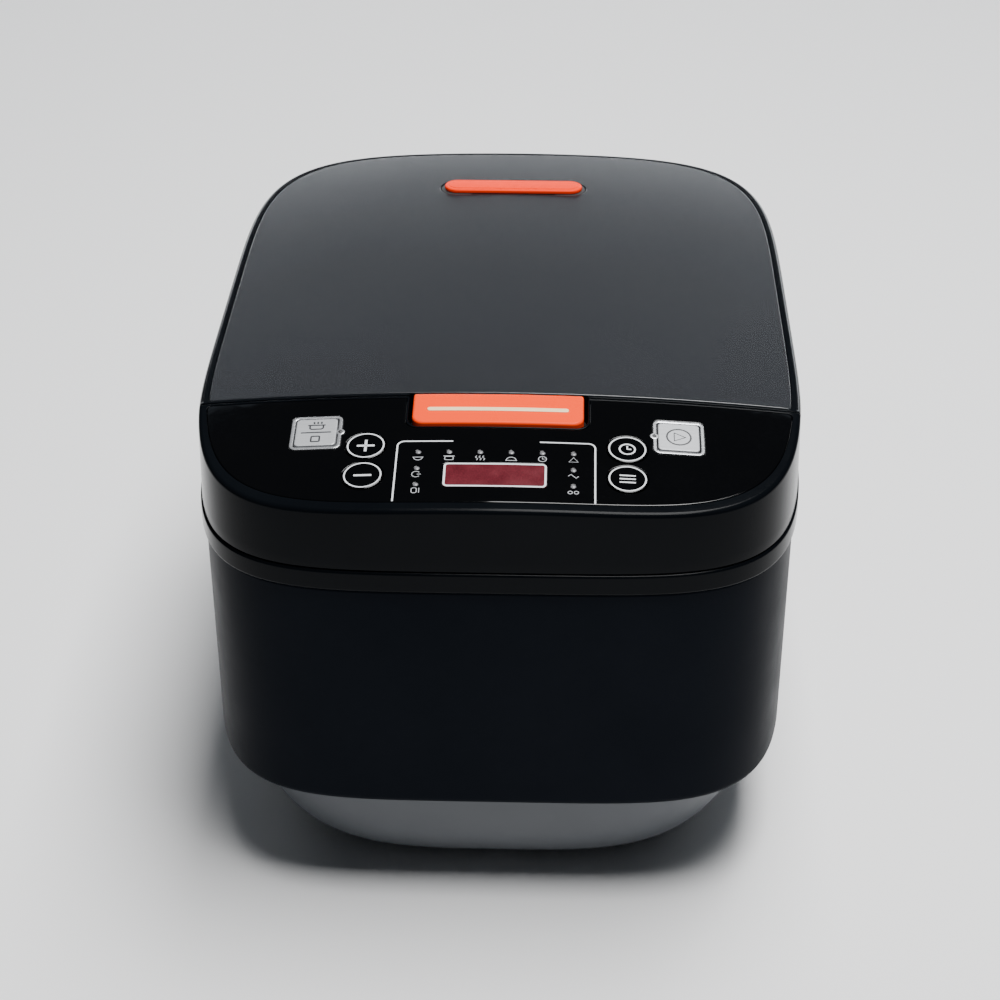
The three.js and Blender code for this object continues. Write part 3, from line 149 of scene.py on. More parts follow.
def on_console(x, v, w=0.0):
    """A point of the console: x across, v up its slope from the seam, w out of its surface."""
    y = SEAM_Y + v * math.cos(TILT) - w * math.sin(TILT)
    return (x, y, CROWN_Z - crown(x) + v * math.sin(TILT) + w * math.cos(TILT))


# ------------------------------------------------------------------ outlines


def superellipse(a, b, theta, power=CORNER_POWER):
    """The point at an angle of the rounded outline with half sizes a and b."""
    c, s = math.cos(theta), math.sin(theta)
    r = (abs(c / a) ** power + abs(s / b) ** power) ** (-1 / power)
    return (r * c, r * s)


def body_loop(inset, power, count):
    """Closed outline of the body, brought in by inset."""
    return [superellipse(HALF_WIDTH - inset, HALF_DEPTH - inset, TAU * i / count, power) for i in range(count)]


def arc_line(radius, centre, start, end, steps):
    """Points round part of a circle, from one angle to another, in degrees."""
    angles = [math.radians(start + (end - start) * i / steps) for i in range(steps + 1)]
    return [(centre[0] + radius * math.cos(a), centre[1] + radius * math.sin(a)) for a in angles]


def resample(points, count):
    """The same open line with its points evenly spaced."""
    lengths = [0.0]
    for p, q in zip(points, points[1:]):
        lengths.append(lengths[-1] + math.dist(p, q))
    made, k = [], 0
    for i in range(count):
        want = lengths[-1] * i / (count - 1)
        while k < len(points) - 2 and lengths[k + 1] < want:
            k += 1
        t = (want - lengths[k]) / max(1e-9, lengths[k + 1] - lengths[k])
        made.append(tuple(a + (b - a) * t for a, b in zip(points[k], points[k + 1])))
    return made


def fillet(before, corner, after, radius, count=7):
    """Points that round a corner."""
    c, b, a = Vector(corner), Vector(before), Vector(after)
    u, w = (b - c).normalized(), (a - c).normalized()
    half = u.angle(w) / 2
    reach = radius / math.tan(half)
    start, end = c + u * reach, c + w * reach
    centre = c + (u + w).normalized() * (radius / math.sin(half))
    first = math.atan2(start.y - centre.y, start.x - centre.x)
    turn = math.atan2(end.y - centre.y, end.x - centre.x) - first
    turn = (turn + math.pi) % TAU - math.pi
    return [
        (centre.x + radius * math.cos(first + turn * i / (count - 1)),
         centre.y + radius * math.sin(first + turn * i / (count - 1)))
        for i in range(count)
    ]


def cut_arc(inset, line_y, rear, front_inset=None):
    """The outline behind a line across the body, or in front of it, from its right end round to its left end."""
    a, b = HALF_WIDTH - inset, HALF_DEPTH - (inset if front_inset is None else front_inset)
    dense = [superellipse(a, b, math.pi * i / FINE_STEPS) for i in range(FINE_STEPS + 1)]

    def side_point(y):
        return (a * (1 - (abs(y) / b) ** CORNER_POWER) ** (1 / CORNER_POWER), y)

    if rear:
        side = [side_point(line_y * (1 - k / LINE_POINTS)) for k in range(LINE_POINTS)]
        return side + dense + [(-x, y) for x, y in reversed(side)]
    edge = side_point(line_y)
    return [edge] + [(x, -y) for x, y in dense if -y < line_y] + [(-edge[0], line_y)]


def lid_loop(inset, line_y, radius, notch=0.0):
    """Closed outline of the lid: round the back from right to left, then along its front edge.
    notch is the depth of the shallow notch behind the button."""
    arc = cut_arc(inset, line_y, True)
    right = fillet((0, line_y), arc[0], arc[8], radius)
    left = fillet(arc[-9], arc[-1], (0, line_y), radius)
    body = [p for p in arc if p[1] > right[-1][1] + 0.2]
    body = resample([right[-1]] + body + [left[0]], ARC_POINTS)
    if not notch:
        return right[1:-1] + body + left[1:-1] + resample([left[-1], right[0]], LINE_POINTS)
    half, back, lip = NOTCH_HALF, line_y + notch, 0.4
    path = [left[-1], (-half, line_y), (-half, back), (half, back), (half, line_y), right[0]]
    line = resample([path[0], (-half - lip, line_y)], LINE_POINTS // 3)
    for k in range(1, 5):
        line += fillet(path[k - 1], path[k], path[k + 1], lip, 5)
        if k == 2:
            line += resample([(-half + lip, back), (half - lip, back)], LINE_POINTS // 3)[1:-1]
    return right[1:-1] + body + left[1:-1] + line + resample([(half + lip, line_y), path[-1]], LINE_POINTS // 3)[1:]


def console_loop(inset, front_inset, back_y, radius, grow, notch_front):
    """Closed outline of the console: round the front from right to left, then along the seam with the button's notch.
    grow widens the notch, and notch_front is the y of its front side."""
    arc = cut_arc(inset, back_y, False, front_inset)
    right = fillet((0, back_y), arc[0], arc[8], radius)
    left = fillet(arc[-9], arc[-1], (0, back_y), radius)
    body = [p for p in arc if p[1] < right[-1][1] - 0.2]
    body = resample([right[-1]] + body + [left[0]], ARC_POINTS)
    half = NOTCH_HALF + grow
    lip = 0.6
    corners = [(-half, back_y, lip), (-half, notch_front, NOTCH_RADIUS), (half, notch_front, NOTCH_RADIUS),
               (half, back_y, lip)]
    path = [left[-1]] + [c[:2] for c in corners] + [right[0]]
    seam = resample([left[-1], (-half - lip, back_y)], LINE_POINTS // 3)
    for k, (x, y, r) in enumerate(corners):
        seam += fillet(path[k], (x, y), path[k + 2], r, 9)
        if k == 1:
            seam += resample([(-half + NOTCH_RADIUS, notch_front), (half - NOTCH_RADIUS, notch_front)],
                             LINE_POINTS // 2)[1:-1]
    seam += resample([(half + lip, back_y), right[0]], LINE_POINTS // 3)[1:]
    return right[1:-1] + body + left[1:-1] + seam


def rounded_loop(width, height, radius, centre=(0, 0), per_corner=8):
    """Closed rounded rectangle, counter-clockwise."""
    cx, cy = centre
    w, h = width / 2 - radius, height / 2 - radius
    loop = []
    for k, (sx, sy) in enumerate([(1, 1), (-1, 1), (-1, -1), (1, -1)]):
        for i in range(per_corner):
            angle = (k + i / (per_corner - 1)) * math.pi / 2
            loop.append((cx + sx * w + radius * math.cos(angle), cy + sy * h + radius * math.sin(angle)))
    return loop


def fine(loop, step=4.0):
    """The same closed loop with more points along its long sides, so that it can follow a curve."""
    made = []
    for p, q in zip(loop, loop[1:] + loop[:1]):
        count = max(1, math.ceil(math.dist(p, q) / step))
        made += [tuple(a + (b - a) * k / count for a, b in zip(p, q)) for k in range(count)]
    return made


def circle_loop(radius, centre=(0, 0), count=40):
    return [(centre[0] + radius * math.cos(TAU * i / count), centre[1] + radius * math.sin(TAU * i / count))
            for i in range(count)]


def offset(loop, distance):
    """A closed loop brought in by a distance, or one for each point; a negative distance grows it."""
    made = []
    n = len(loop)
    side = -1 if is_left_handed(loop) else 1
    for i, p in enumerate(loop):
        before, after = Vector(loop[i - 1]), Vector(loop[(i + 1) % n])
        here = Vector(p)
        e0, e1 = here - before, after - here
        if e0.length < 1e-7 or e1.length < 1e-7:
            e0 = e1 = after - before
        n0 = Vector((-e0.y, e0.x)).normalized()
        n1 = Vector((-e1.y, e1.x)).normalized()
        mid = (n0 + n1).normalized()
        d = side * (distance[i] if isinstance(distance, list) else distance)
        made.append(tuple(here + mid * (d / max(0.5, mid.dot(n0)))))
    return made


def is_left_handed(loop):
    area = sum(p[0] * q[1] - q[0] * p[1] for p, q in zip(loop, loop[1:] + loop[:1]))
    return area < 0


def inside(point, loop):
    x, y = point
    hit = False
    for (x0, y0), (x1, y1) in zip(loop, loop[1:] + loop[:1]):
        if (y0 > y) != (y1 > y) and x < (x1 - x0) * (y - y0) / (y1 - y0) + x0:
            hit = not hit
    return hit


# ------------------------------------------------------------------ solids made of rows and filled faces


class Skin:
    """Points and faces of one closed piece."""

    def __init__(self):
        self.points = []
        self.faces = []

    def row(self, points):
        first = len(self.points)
        self.points += [tuple(p) for p in points]
        return list(range(first, first + len(points)))

    def bridge(self, low, high):
        for i in range(len(low)):
            j = (i + 1) % len(low)
            self.faces.append((low[i], low[j], high[j], high[i]))

    def rows(self, rows):
        made = [self.row(r) for r in rows]
        for low, high in zip(made, made[1:]):
            self.bridge(low, high)
        return made

    def fill(self, outer, holes, place, spacing=0.0):
        """Flat fill between loops, each (row of points already made, its plane loop); place lifts new points."""
        plane, given, edges = [], [], []
        for ids, loop in [outer] + holes:
            first = len(plane)
            plane += [Vector(p) for p in loop]
            given += ids
            edges += [(first + i, first + (i + 1) % len(loop)) for i in range(len(loop))]
        if spacing:
            xs, ys = [p[0] for p in outer[1]], [p[1] for p in outer[1]]
            shy = offset(outer[1], spacing * 0.45)
            keep_off = [offset(h[1], -spacing * 0.3) for h in holes]
            columns = int((max(xs) - min(xs)) / spacing) + 1
            lines = int((max(ys) - min(ys)) / spacing) + 1
            for i in range(columns):
                for j in range(lines):
                    p = (min(xs) + (i + 0.5) * spacing, min(ys) + (j + (0.5 if i % 2 else 0.0)) * spacing)
                    if inside(p, shy) and not any(inside(p, k) for k in keep_off):
                        plane.append(Vector(p))
                        given.append(None)
        out, _, triangles, sources, _, _ = delaunay_2d_cdt(plane, edges, [], 1, 1e-6)
        index = []
        for p, source in zip(out, sources):
            known = [given[s] for s in source if given[s] is not None]
            index.append(known[0] if known else self.row([place(p.x, p.y)])[0])
        for t in triangles:
            x = sum(out[k].x for k in t) / 3
            y = sum(out[k].y for k in t) / 3
            if inside((x, y), outer[1]) and not any(inside((x, y), h[1]) for h in holes):
                self.faces.append(tuple(index[k] for k in t))

    def cap(self, row, point):
        tip = self.row([point])[0]
        self.faces += [(p, q, tip) for p, q in zip(row, row[1:] + row[:1])]


def baked(piece):
    """A new mesh with the piece's modifiers applied."""
    depsgraph = bpy.context.evaluated_depsgraph_get()
    return bpy.data.meshes.new_from_object(piece.evaluated_get(depsgraph), depsgraph=depsgraph)


def placed(name, data):
    """A new object in the scene."""
    made = bpy.data.objects.new(name, data)
    bpy.context.scene.collection.objects.link(made)
    return made


def even_shading(piece, sharp):
    """Smooth between sharp edges, with large faces setting the shading, so that a flat top stays flat to its edge."""
    piece.data.shade_smooth()
    piece.data.set_sharp_from_angle(angle=math.radians(sharp))
    even = piece.modifiers.new("even_shading", "WEIGHTED_NORMAL")
    even.mode, even.weight, even.keep_sharp = "FACE_AREA", 100, True
    mesh = baked(piece)
    piece.modifiers.clear()
    mesh.name = piece.name
    piece.data = mesh


def finished(name, mesh, body, material, slot, replaces=(), sharp=SHARP_ANGLE):
    """Puts a mesh in the scene as a piece: edges, finish, body and the frame nodes it stands for."""
    mesh.name = name
    mesh.validate()
    edit = bmesh.new()
    edit.from_mesh(mesh)
    bmesh.ops.remove_doubles(edit, verts=edit.verts, dist=2e-6)
    bmesh.ops.dissolve_degenerate(edit, edges=edit.edges, dist=1e-7)
    bmesh.ops.recalc_face_normals(edit, faces=edit.faces)
    edit.to_mesh(mesh)
    edit.free()
    mesh.materials.clear()
    mesh.materials.append(material)
    piece = placed(name, mesh)
    even_shading(piece, sharp)
    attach(piece, body)
    if replaces:
        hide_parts(*replaces)
    return piece


def skin_mesh(name, skin):
    mesh = bpy.data.meshes.new(name)
    mesh.from_pydata([tuple(c * MM for c in p) for p in skin.points], [], skin.faces)
    return mesh


def from_skin(name, skin, *args, **more):
    return finished(name, skin_mesh(name, skin), *args, **more)


def turned(name, profile, centre, *args, sides=128, ring=True, **more):
    """A turned piece about an upright axis, from [radius, height] points; ring closes the profile on itself."""
    skin = Skin()
    rows = [skin.row([(x, y, z) for x, y in circle_loop(r, centre, sides)]) if r >= 1e-6 else None
            for r, z in profile]
    for k, (low, high) in enumerate(zip(rows, rows[1:])):
        if low and high:
            skin.bridge(low, high)
        elif low or high:
            skin.cap(low or high, (*centre, profile[k + 1 if low else k][1]))
    if ring:
        skin.bridge(rows[-1], rows[0])
    return from_skin(name, skin, *args, **more)


def quarter(radius, steps=5):
    """Pairs (in, down) round a quarter circle, from the flat top outwards and down."""
    return [(radius * (1 - math.sin(a)), radius * (1 - math.cos(a)))
            for a in [math.pi / 2 * i / steps for i in range(steps + 1)]]


def pad(name, loop, holes, place, thickness, *args, edge=0.5, hole_edge=0.2, spacing=0.0, **more):
    """A sheet on any surface, with rounded upper edges. loop and holes are plane loops; place(u, v, w) lifts them."""
    skin = Skin()
    loops = [(loop, 1.0, edge)] + [(h, -1.0, hole_edge) for h in holes]
    tops, bottoms = [], []
    for one, side, radius in loops:
        rows = [(offset(one, side * inward), -down) for inward, down in quarter(radius, 4 if radius > 0.3 else 2)]
        rows.append((one, -thickness))
        made = skin.rows([[place(u, v, w) for u, v in ring] for ring, w in rows])
        tops.append((made[0], rows[0][0]))
        bottoms.append((made[-1], rows[-1][0]))
    skin.fill(tops[0], tops[1:], lambda u, v: place(u, v, 0.0), spacing)
    skin.fill(bottoms[0], bottoms[1:], lambda u, v: place(u, v, -thickness), spacing)
    return from_skin(name, skin, *args, **more)


def cut_boxes(piece, cutters, sharp=SHARP_ANGLE):
    """Cuts boxes, each (lowest corner, highest corner), out of a piece."""
    tools = []
    for (x0, y0, z0), (x1, y1, z1) in cutters:
        skin = Skin()
        skin.rows([[(x0, y0, z), (x1, y0, z), (x1, y1, z), (x0, y1, z)] for z in (z0, z1)])
        skin.faces += [(3, 2, 1, 0), (4, 5, 6, 7)]
        tools.append(placed("cutter", skin_mesh("cutter", skin)))
        cut = piece.modifiers.new("cut", "BOOLEAN")
        cut.operation, cut.solver, cut.object = "DIFFERENCE", "EXACT", tools[-1]
    mesh = baked(piece)
    piece.modifiers.clear()
    piece.data = mesh
    for tool in tools:
        bpy.data.objects.remove(tool)
    even_shading(piece, sharp)


# ------------------------------------------------------------------ finishes


def feed(tree, made, *ordered, **named):
    """Fills a node's inputs, in order or by name with _ for a space: each a value, or an output to link.
    Any other name is one of the node's settings."""
    inputs = list(enumerate(ordered))
    for key, value in named.items():
        label = key.replace("_", " ")
        if label in made.inputs:
            inputs.append((label, value))
        else:
            setattr(made, key, value)
    for key, value in inputs:
        if isinstance(value, bpy.types.NodeSocket):
            tree.links.new(value, made.inputs[key])
        elif value is not None:
            made.inputs[key].default_value = value
    return made


def node(tree, kind, *ordered, **named):
    return feed(tree, tree.nodes.new(kind), *ordered, **named)


def maths(tree, operation, first, second=None, third=None):
    return node(tree, "ShaderNodeMath", first, second, third, operation=operation).outputs[0]


def noise(tree, vector, scale, detail=3.0, roughness=0.5):
    return node(tree, "ShaderNodeTexNoise", Vector=vector, Scale=scale, Detail=detail,
                Roughness=roughness).outputs["Fac"]


def stretched(tree, vector, **how):
    return node(tree, "ShaderNodeMapping", Vector=vector, **how).outputs[0]


def cells(tree, vector, scale):
    return node(tree, "ShaderNodeTexVoronoi", Vector=vector, Scale=scale).outputs["Distance"]


def spread(tree, value, low, high, from_low=0.3, from_high=0.7):
    return node(tree, "ShaderNodeMapRange", Value=value, From_Min=from_low, From_Max=from_high, To_Min=low,
                To_Max=high).outputs["Result"]


def blend(tree, factor, first, second):
    """A colour between two, each a colour or an output."""
    first, second = [c if isinstance(c, bpy.types.NodeSocket) else (*c, 1) for c in (first, second)]
    made = node(tree, "ShaderNodeMix", factor, None, None, None, None, None, first, second, data_type="RGBA")
    return made.outputs[2]


def blank(name):
    material = bpy.data.materials.new(name)
    material.use_nodes = True
    tree = material.node_tree
    place = node(tree, "ShaderNodeTexCoord").outputs["Object"]
    return material, tree, tree.nodes["Principled BSDF"], place


def bumped(tree, shader, heights):
    """Chains bumps from (height, strength, distance in metres)."""
    before = None
    for height, strength, distance in heights:
        before = node(tree, "ShaderNodeBump", Strength=strength, Distance=distance, Height=height,
                      Normal=before).outputs["Normal"]
    feed(tree, shader, Normal=before)


def moulded(name, dark, light, rough, specular=0.5, grain=1800.0, grain_depth=0.00002, cloud=14.0, smears=0.0,
            wave=0.00005):
    """Moulded plastic or rubber: cloudy tone, changing gloss, fine grain and light rubbing marks."""
    material, tree, shader, place = blank(name)
    tone = blend(tree, spread(tree, noise(tree, place, cloud, 4.0, 0.6), 0, 1), dark, light)
    specks = noise(tree, place, grain, 2.0)
    gloss = maths(tree, "ADD", spread(tree, noise(tree, place, cloud * 3.3, 5.0, 0.65), *rough),
                  spread(tree, specks, -0.02, 0.02))
    if smears:
        strokes = noise(tree, stretched(tree, place, Scale=(30, 160, 30), Rotation=(0, 0, 0.5)), 1.0, 6.0, 0.7)
        gloss = maths(tree, "ADD", gloss, spread(tree, strokes, 0.0, smears, 0.55, 0.8))
    feed(tree, shader, Base_Color=tone, Roughness=gloss, Specular_IOR_Level=specular)
    bumped(tree, shader, [(specks, 0.35, grain_depth), (noise(tree, place, cloud * 1.7, 2.0), 0.2, wave)])
    return material


def brushed(name, dark, light, rough, stretch, metallic=1.0, depth=0.000015):
    """Metal with fine straight brush lines; stretch is the pattern's scale along x, y and z."""
    material, tree, shader, place = blank(name)
    streaks = noise(tree, stretched(tree, place, Scale=stretch), 1.0, 5.0, 0.62)
    both = maths(tree, "MULTIPLY_ADD", noise(tree, place, 22.0, 3.0), 0.35, streaks)
    feed(tree, shader, Base_Color=blend(tree, spread(tree, both, 0, 1, 0.4, 0.9), dark, light),
         Roughness=spread(tree, streaks, *rough), Metallic=metallic)
    bumped(tree, shader, [(streaks, 0.4, depth)])
    return material


def spun(name, dark, light, rough, metallic=1.0, pitch=1500.0, specks=None):
    """Metal or coating turned about the pot's axis: fine rings round it, and optional light specks."""
    material, tree, shader, place = blank(name)
    parts = node(tree, "ShaderNodeSeparateXYZ", stretched(tree, place, Location=(0, -POT_Y * MM, 0)))
    flat = node(tree, "ShaderNodeCombineXYZ", parts.outputs[0], parts.outputs[1])
    radius = node(tree, "ShaderNodeVectorMath", flat.outputs[0], operation="LENGTH")
    ring = node(tree, "ShaderNodeCombineXYZ", radius.outputs["Value"], parts.outputs[2])
    rings = noise(tree, ring.outputs[0], pitch, 3.0, 0.55)
    tone = blend(tree, spread(tree, noise(tree, place, 18.0, 4.0), 0, 1), dark, light)
    heights = [(rings, 0.35, 0.00002)]
    if specks:
        dots = cells(tree, place, 520.0)
        tone = blend(tree, spread(tree, dots, 1, 0, 0.12, 0.22), tone, specks)
        heights.append((dots, 0.25, 0.00003))
    feed(tree, shader, Base_Color=tone, Roughness=spread(tree, rings, *rough), Metallic=metallic)
    bumped(tree, shader, heights)
    return material


satin_shell = moulded("satin_shell_black", (0.0042, 0.0056, 0.0086), (0.0056, 0.0072, 0.0106), (0.36, 0.44),
                      specular=0.018, grain=2600, smears=0.04)
gloss_black = moulded("gloss_moulding_black", (0.0020, 0.0026, 0.0036), (0.0028, 0.0036, 0.0048), (0.14, 0.20),
                      specular=0.05, grain=900, grain_depth=0.000004, smears=0.04)
fascia_black = moulded("fascia_glass_black", (0.0010, 0.0011, 0.0014), (0.0014, 0.0015, 0.0018), (0.045, 0.065),
                       specular=0.42, grain=700, grain_depth=0.000001, smears=0.01, wave=0.0)
lid_matte = moulded("lid_panel_charcoal", (0.0125, 0.0138, 0.0168), (0.0141, 0.0156, 0.0186), (0.243, 0.253),
                    specular=0.5, grain=3200, grain_depth=0.00003, cloud=6.0, wave=0.0)
base_grey = moulded("base_slate", (0.072, 0.079, 0.089), (0.082, 0.089, 0.099), (0.40, 0.50), grain=2200)
foot_rubber = moulded("foot_rubber_black", (0.008, 0.008, 0.009), (0.014, 0.014, 0.015), (0.75, 0.9), specular=0.3,
                      grain=1200, grain_depth=0.00005)
button_orange = moulded("button_orange", (1.0, 0.050, 0.0), (1.0, 0.058, 0.0), (0.26, 0.32), specular=0.06,
                        grain=1400, grain_depth=0.000006, wave=0.00002)
strip_orange = moulded("strip_orange", (0.94, 0.030, 0.0), (0.98, 0.036, 0.0), (0.32, 0.38), specular=0.05,
                       grain=1400, grain_depth=0.000006, wave=0.00002)
# Painted highlight: a cream colour that stands in for the light's reflection along the middle of the orange button.
painted_highlight_cream = moulded("button_band_cream", (0.96, 0.70, 0.36), (1.0, 0.78, 0.46), (0.20, 0.28), grain=1200,
                     grain_depth=0.000004)
ink_white = moulded("printing_white", (0.62, 0.64, 0.66), (0.74, 0.76, 0.78), (0.42, 0.55), grain=3000,
                    grain_depth=0.000006)
ink_grey = moulded("printing_grey", (0.34, 0.35, 0.37), (0.44, 0.45, 0.47), (0.42, 0.55), grain=3000,
                   grain_depth=0.000006)
ink_dark = moulded("printing_black", (0.010, 0.011, 0.013), (0.016, 0.017, 0.020), (0.42, 0.55), grain=3000,
                   grain_depth=0.000006)
lamp_grey = moulded("lamp_lens_grey", (0.13, 0.13, 0.14), (0.20, 0.20, 0.21), (0.18, 0.28), grain=2000,
                    grain_depth=0.00001)
inner_black = moulded("inner_moulding_black", (0.014, 0.0145, 0.0155), (0.021, 0.0215, 0.023), (0.46, 0.6),
                      grain=1700, grain_depth=0.00004)
pocket_grey = moulded("pocket_moulding_grey", (0.020, 0.021, 0.024), (0.028, 0.029, 0.033), (0.4, 0.5), grain=1700)
board_green = moulded("board_solder_mask", (0.010, 0.075, 0.036), (0.016, 0.105, 0.050), (0.3, 0.45), grain=900)
gasket_silicone = moulded("gasket_silicone", (0.34, 0.35, 0.36), (0.42, 0.43, 0.44), (0.5, 0.65), specular=0.4,
                          grain=1500, grain_depth=0.00003)
loom_sleeve = moulded("loom_sleeve", (0.50, 0.51, 0.52), (0.62, 0.63, 0.64), (0.6, 0.75), grain=900,
                      grain_depth=0.0001)
steel = brushed("bright_steel", (0.46, 0.47, 0.48), (0.62, 0.63, 0.64), (0.22, 0.36), (300, 40, 300))
key_silver = brushed("key_face_silver", (0.36, 0.37, 0.385), (0.43, 0.44, 0.455), (0.36, 0.46), (160, 2600, 160),
                     metallic=0.35)
frame_silver = brushed("key_frame_silver", (0.46, 0.47, 0.49), (0.56, 0.57, 0.59), (0.24, 0.30), (300, 1800, 300),
                       metallic=0.75, depth=0.000003)
plate_aluminium = spun("heated_aluminium", (0.50, 0.505, 0.51), (0.60, 0.605, 0.61), (0.28, 0.42))
liner_aluminium = spun("liner_aluminium", (0.42, 0.425, 0.43), (0.55, 0.555, 0.56), (0.3, 0.45))
pot_coating = spun("pot_non_stick", (0.018, 0.018, 0.019), (0.026, 0.026, 0.027), (0.30, 0.42),
                   metallic=0.0, pitch=900.0, specks=(0.10, 0.10, 0.105))


def display_glass():
    """Dark red window with the faint mesh of the lamps behind it."""
    material, tree, shader, place = blank("display_window_red")
    clouds = noise(tree, place, 120.0, 3.0)
    both = maths(tree, "MULTIPLY_ADD", cells(tree, place, 1500.0), 0.5, clouds)
    tone = blend(tree, spread(tree, both, 0, 1, 0.4, 1.0), (0.060, 0.0075, 0.0115), (0.115, 0.014, 0.021))
    feed(tree, shader, Base_Color=tone, Roughness=spread(tree, clouds, 0.12, 0.2), Specular_IOR_Level=0.35)
    bumped(tree, shader, [(clouds, 0.1, 0.00001)])
    return material


window_red = display_glass()

FINISH_OF_SLOT = {
    "shell": satin_shell, "gloss": gloss_black, "matte": lid_matte, "base": base_grey, "rubber": foot_rubber,
    "orange": strip_orange, "silver": frame_silver, "white": lamp_grey, "lens": window_red, "board": board_green,
    "part": inner_black, "steel": steel, "aluminium": plate_aluminium, "coating": pot_coating,
    "silicone": gasket_silicone, "wire": loom_sleeve,
}
for row in frame["record"]["subparts"]:
    cad_node = frame["nodes"][row["node"]]
    cad_node.data.materials.clear()
    cad_node.data.materials.append(FINISH_OF_SLOT[row["material_slot"]])


# ------------------------------------------------------------------ shapes grown by geometry nodes


def new_tree(name, inputs):
    """An empty geometry tree with named inputs: (name, socket type, value)."""
    tree = bpy.data.node_groups.new(name, "GeometryNodeTree")
    tree.interface.new_socket("Geometry", in_out="INPUT", socket_type="NodeSocketGeometry")
    for label, kind, value in inputs:
        socket = tree.interface.new_socket(label, in_out="INPUT", socket_type=kind)
        if value is not None:
            socket.default_value = value
    tree.interface.new_socket("Geometry", in_out="OUTPUT", socket_type="NodeSocketGeometry")
    given = tree.nodes.new("NodeGroupInput")
    result = tree.nodes.new("NodeGroupOutput")
    return tree, given.outputs, result.inputs["Geometry"]


def close_tree(tree, geometry, material, target):
    """Every tree ends in Realize Instances and Set Material."""
    real = node(tree, "GeometryNodeRealizeInstances", Geometry=geometry)
    paint = node(tree, "GeometryNodeSetMaterial", Geometry=real.outputs["Geometry"], Material=material)
    tree.links.new(paint.outputs["Geometry"], target)
    return tree


def rounded_body_tree():
    """Sweeps a profile round the body's rounded outline.
    The source mesh holds the profile: x is how far inside the outline, z the height."""
    tree, given, target = new_tree("rounded_body", [
        ("Half width", "NodeSocketFloat", 0.1), ("Half depth", "NodeSocketFloat", 0.1),
        ("Corner power", "NodeSocketFloat", 4.0), ("Rows", "NodeSocketInt", 8), ("Steps", "NodeSocketInt", 320),
        ("Material", "NodeSocketMaterial", None)])
    steps = maths(tree, "ADD", given["Steps"], 1.0)
    sheet = node(tree, "GeometryNodeMeshGrid", Vertices_X=given["Rows"], Vertices_Y=steps)
    index = node(tree, "GeometryNodeInputIndex").outputs[0]
    row = maths(tree, "FLOOR", maths(tree, "DIVIDE", maths(tree, "ADD", index, 0.01), steps))
    step = maths(tree, "SUBTRACT", index, maths(tree, "MULTIPLY", row, steps))
    angle = maths(tree, "MULTIPLY", step, maths(tree, "DIVIDE", TAU, given["Steps"]))
    sample = node(tree, "GeometryNodeSampleIndex", data_type="FLOAT_VECTOR", Geometry=given["Geometry"],
                  Value=node(tree, "GeometryNodeInputPosition").outputs[0], Index=row)
    profile = node(tree, "ShaderNodeSeparateXYZ", sample.outputs[0])
    power = given["Corner power"]
    turns = [maths(tree, kind, angle) for kind in ("COSINE", "SINE")]
    terms = []
    for turn, label in zip(turns, ("Half width", "Half depth")):
        half = maths(tree, "SUBTRACT", given[label], profile.outputs[0])
        terms.append(maths(tree, "POWER", maths(tree, "ABSOLUTE", maths(tree, "DIVIDE", turn, half)), power))
    reach = maths(tree, "POWER", maths(tree, "ADD", *terms), maths(tree, "DIVIDE", -1.0, power))
    place = node(tree, "ShaderNodeCombineXYZ", *[maths(tree, "MULTIPLY", reach, turn) for turn in turns],
                 profile.outputs[2])
    moved = node(tree, "GeometryNodeSetPosition", Geometry=sheet.outputs["Mesh"], Position=place.outputs[0])
    merged = node(tree, "GeometryNodeMergeByDistance", Geometry=moved.outputs[0], Distance=0.000005)
    return close_tree(tree, merged.outputs[0], given["Material"], target)


def swept_tree(name, section_kind, inputs, flat):
    """Sweeps a section along the source mesh's edges; inputs are the section's own sizes."""
    tree, given, target = new_tree(name, inputs + [("Material", "NodeSocketMaterial", None)])
    curve = node(tree, "GeometryNodeMeshToCurve", given["Geometry"])
    if flat:
        curve = node(tree, "GeometryNodeSetCurveNormal", curve.outputs[0], mode="Z_UP")
    section = node(tree, section_kind, **{label: given[label] for label, _, _ in inputs})
    swept = node(tree, "GeometryNodeCurveToMesh", Curve=curve.outputs[0], Profile_Curve=section.outputs[0],
                 Fill_Caps=True)
    return close_tree(tree, swept.outputs[0], given["Material"], target)


def studs_tree():
    """A low round stud or dome on each source point, its axis along the point's facing."""
    tree, given, target = new_tree("studs_in_places", [
        ("Radius", "NodeSocketFloat", 0.001), ("Rise", "NodeSocketFloat", 0.0005), ("Sides", "NodeSocketInt", 24),
        ("Material", "NodeSocketMaterial", None)])
    ball = node(tree, "GeometryNodeMeshUVSphere", Rings=10, Radius=1.0, Segments=given["Sides"])
    size = node(tree, "ShaderNodeCombineXYZ", given["Radius"], given["Radius"], given["Rise"])
    shaped = node(tree, "GeometryNodeTransform", Geometry=ball.outputs["Mesh"], Scale=size.outputs[0])
    facing = node(tree, "GeometryNodeInputNamedAttribute", data_type="FLOAT_VECTOR", Name="facing")
    turn = node(tree, "FunctionNodeAlignRotationToVector", axis="Z", Vector=facing.outputs["Attribute"])
    studs_made = node(tree, "GeometryNodeInstanceOnPoints", Points=given["Geometry"], Instance=shaped.outputs[0],
                      Rotation=turn.outputs[0])
    return close_tree(tree, studs_made.outputs[0], given["Material"], target)


rounded_body = rounded_body_tree()
printed_line = swept_tree("printed_line", "GeometryNodeCurvePrimitiveQuadrilateral", [
    ("Width", "NodeSocketFloat", 0.0005), ("Height", "NodeSocketFloat", 0.0001)], flat=True)
wire_on_path = swept_tree("wire_on_path", "GeometryNodeCurvePrimitiveCircle", [
    ("Radius", "NodeSocketFloat", 0.0005), ("Resolution", "NodeSocketInt", 12)], flat=False)
studs_in_places = studs_tree()


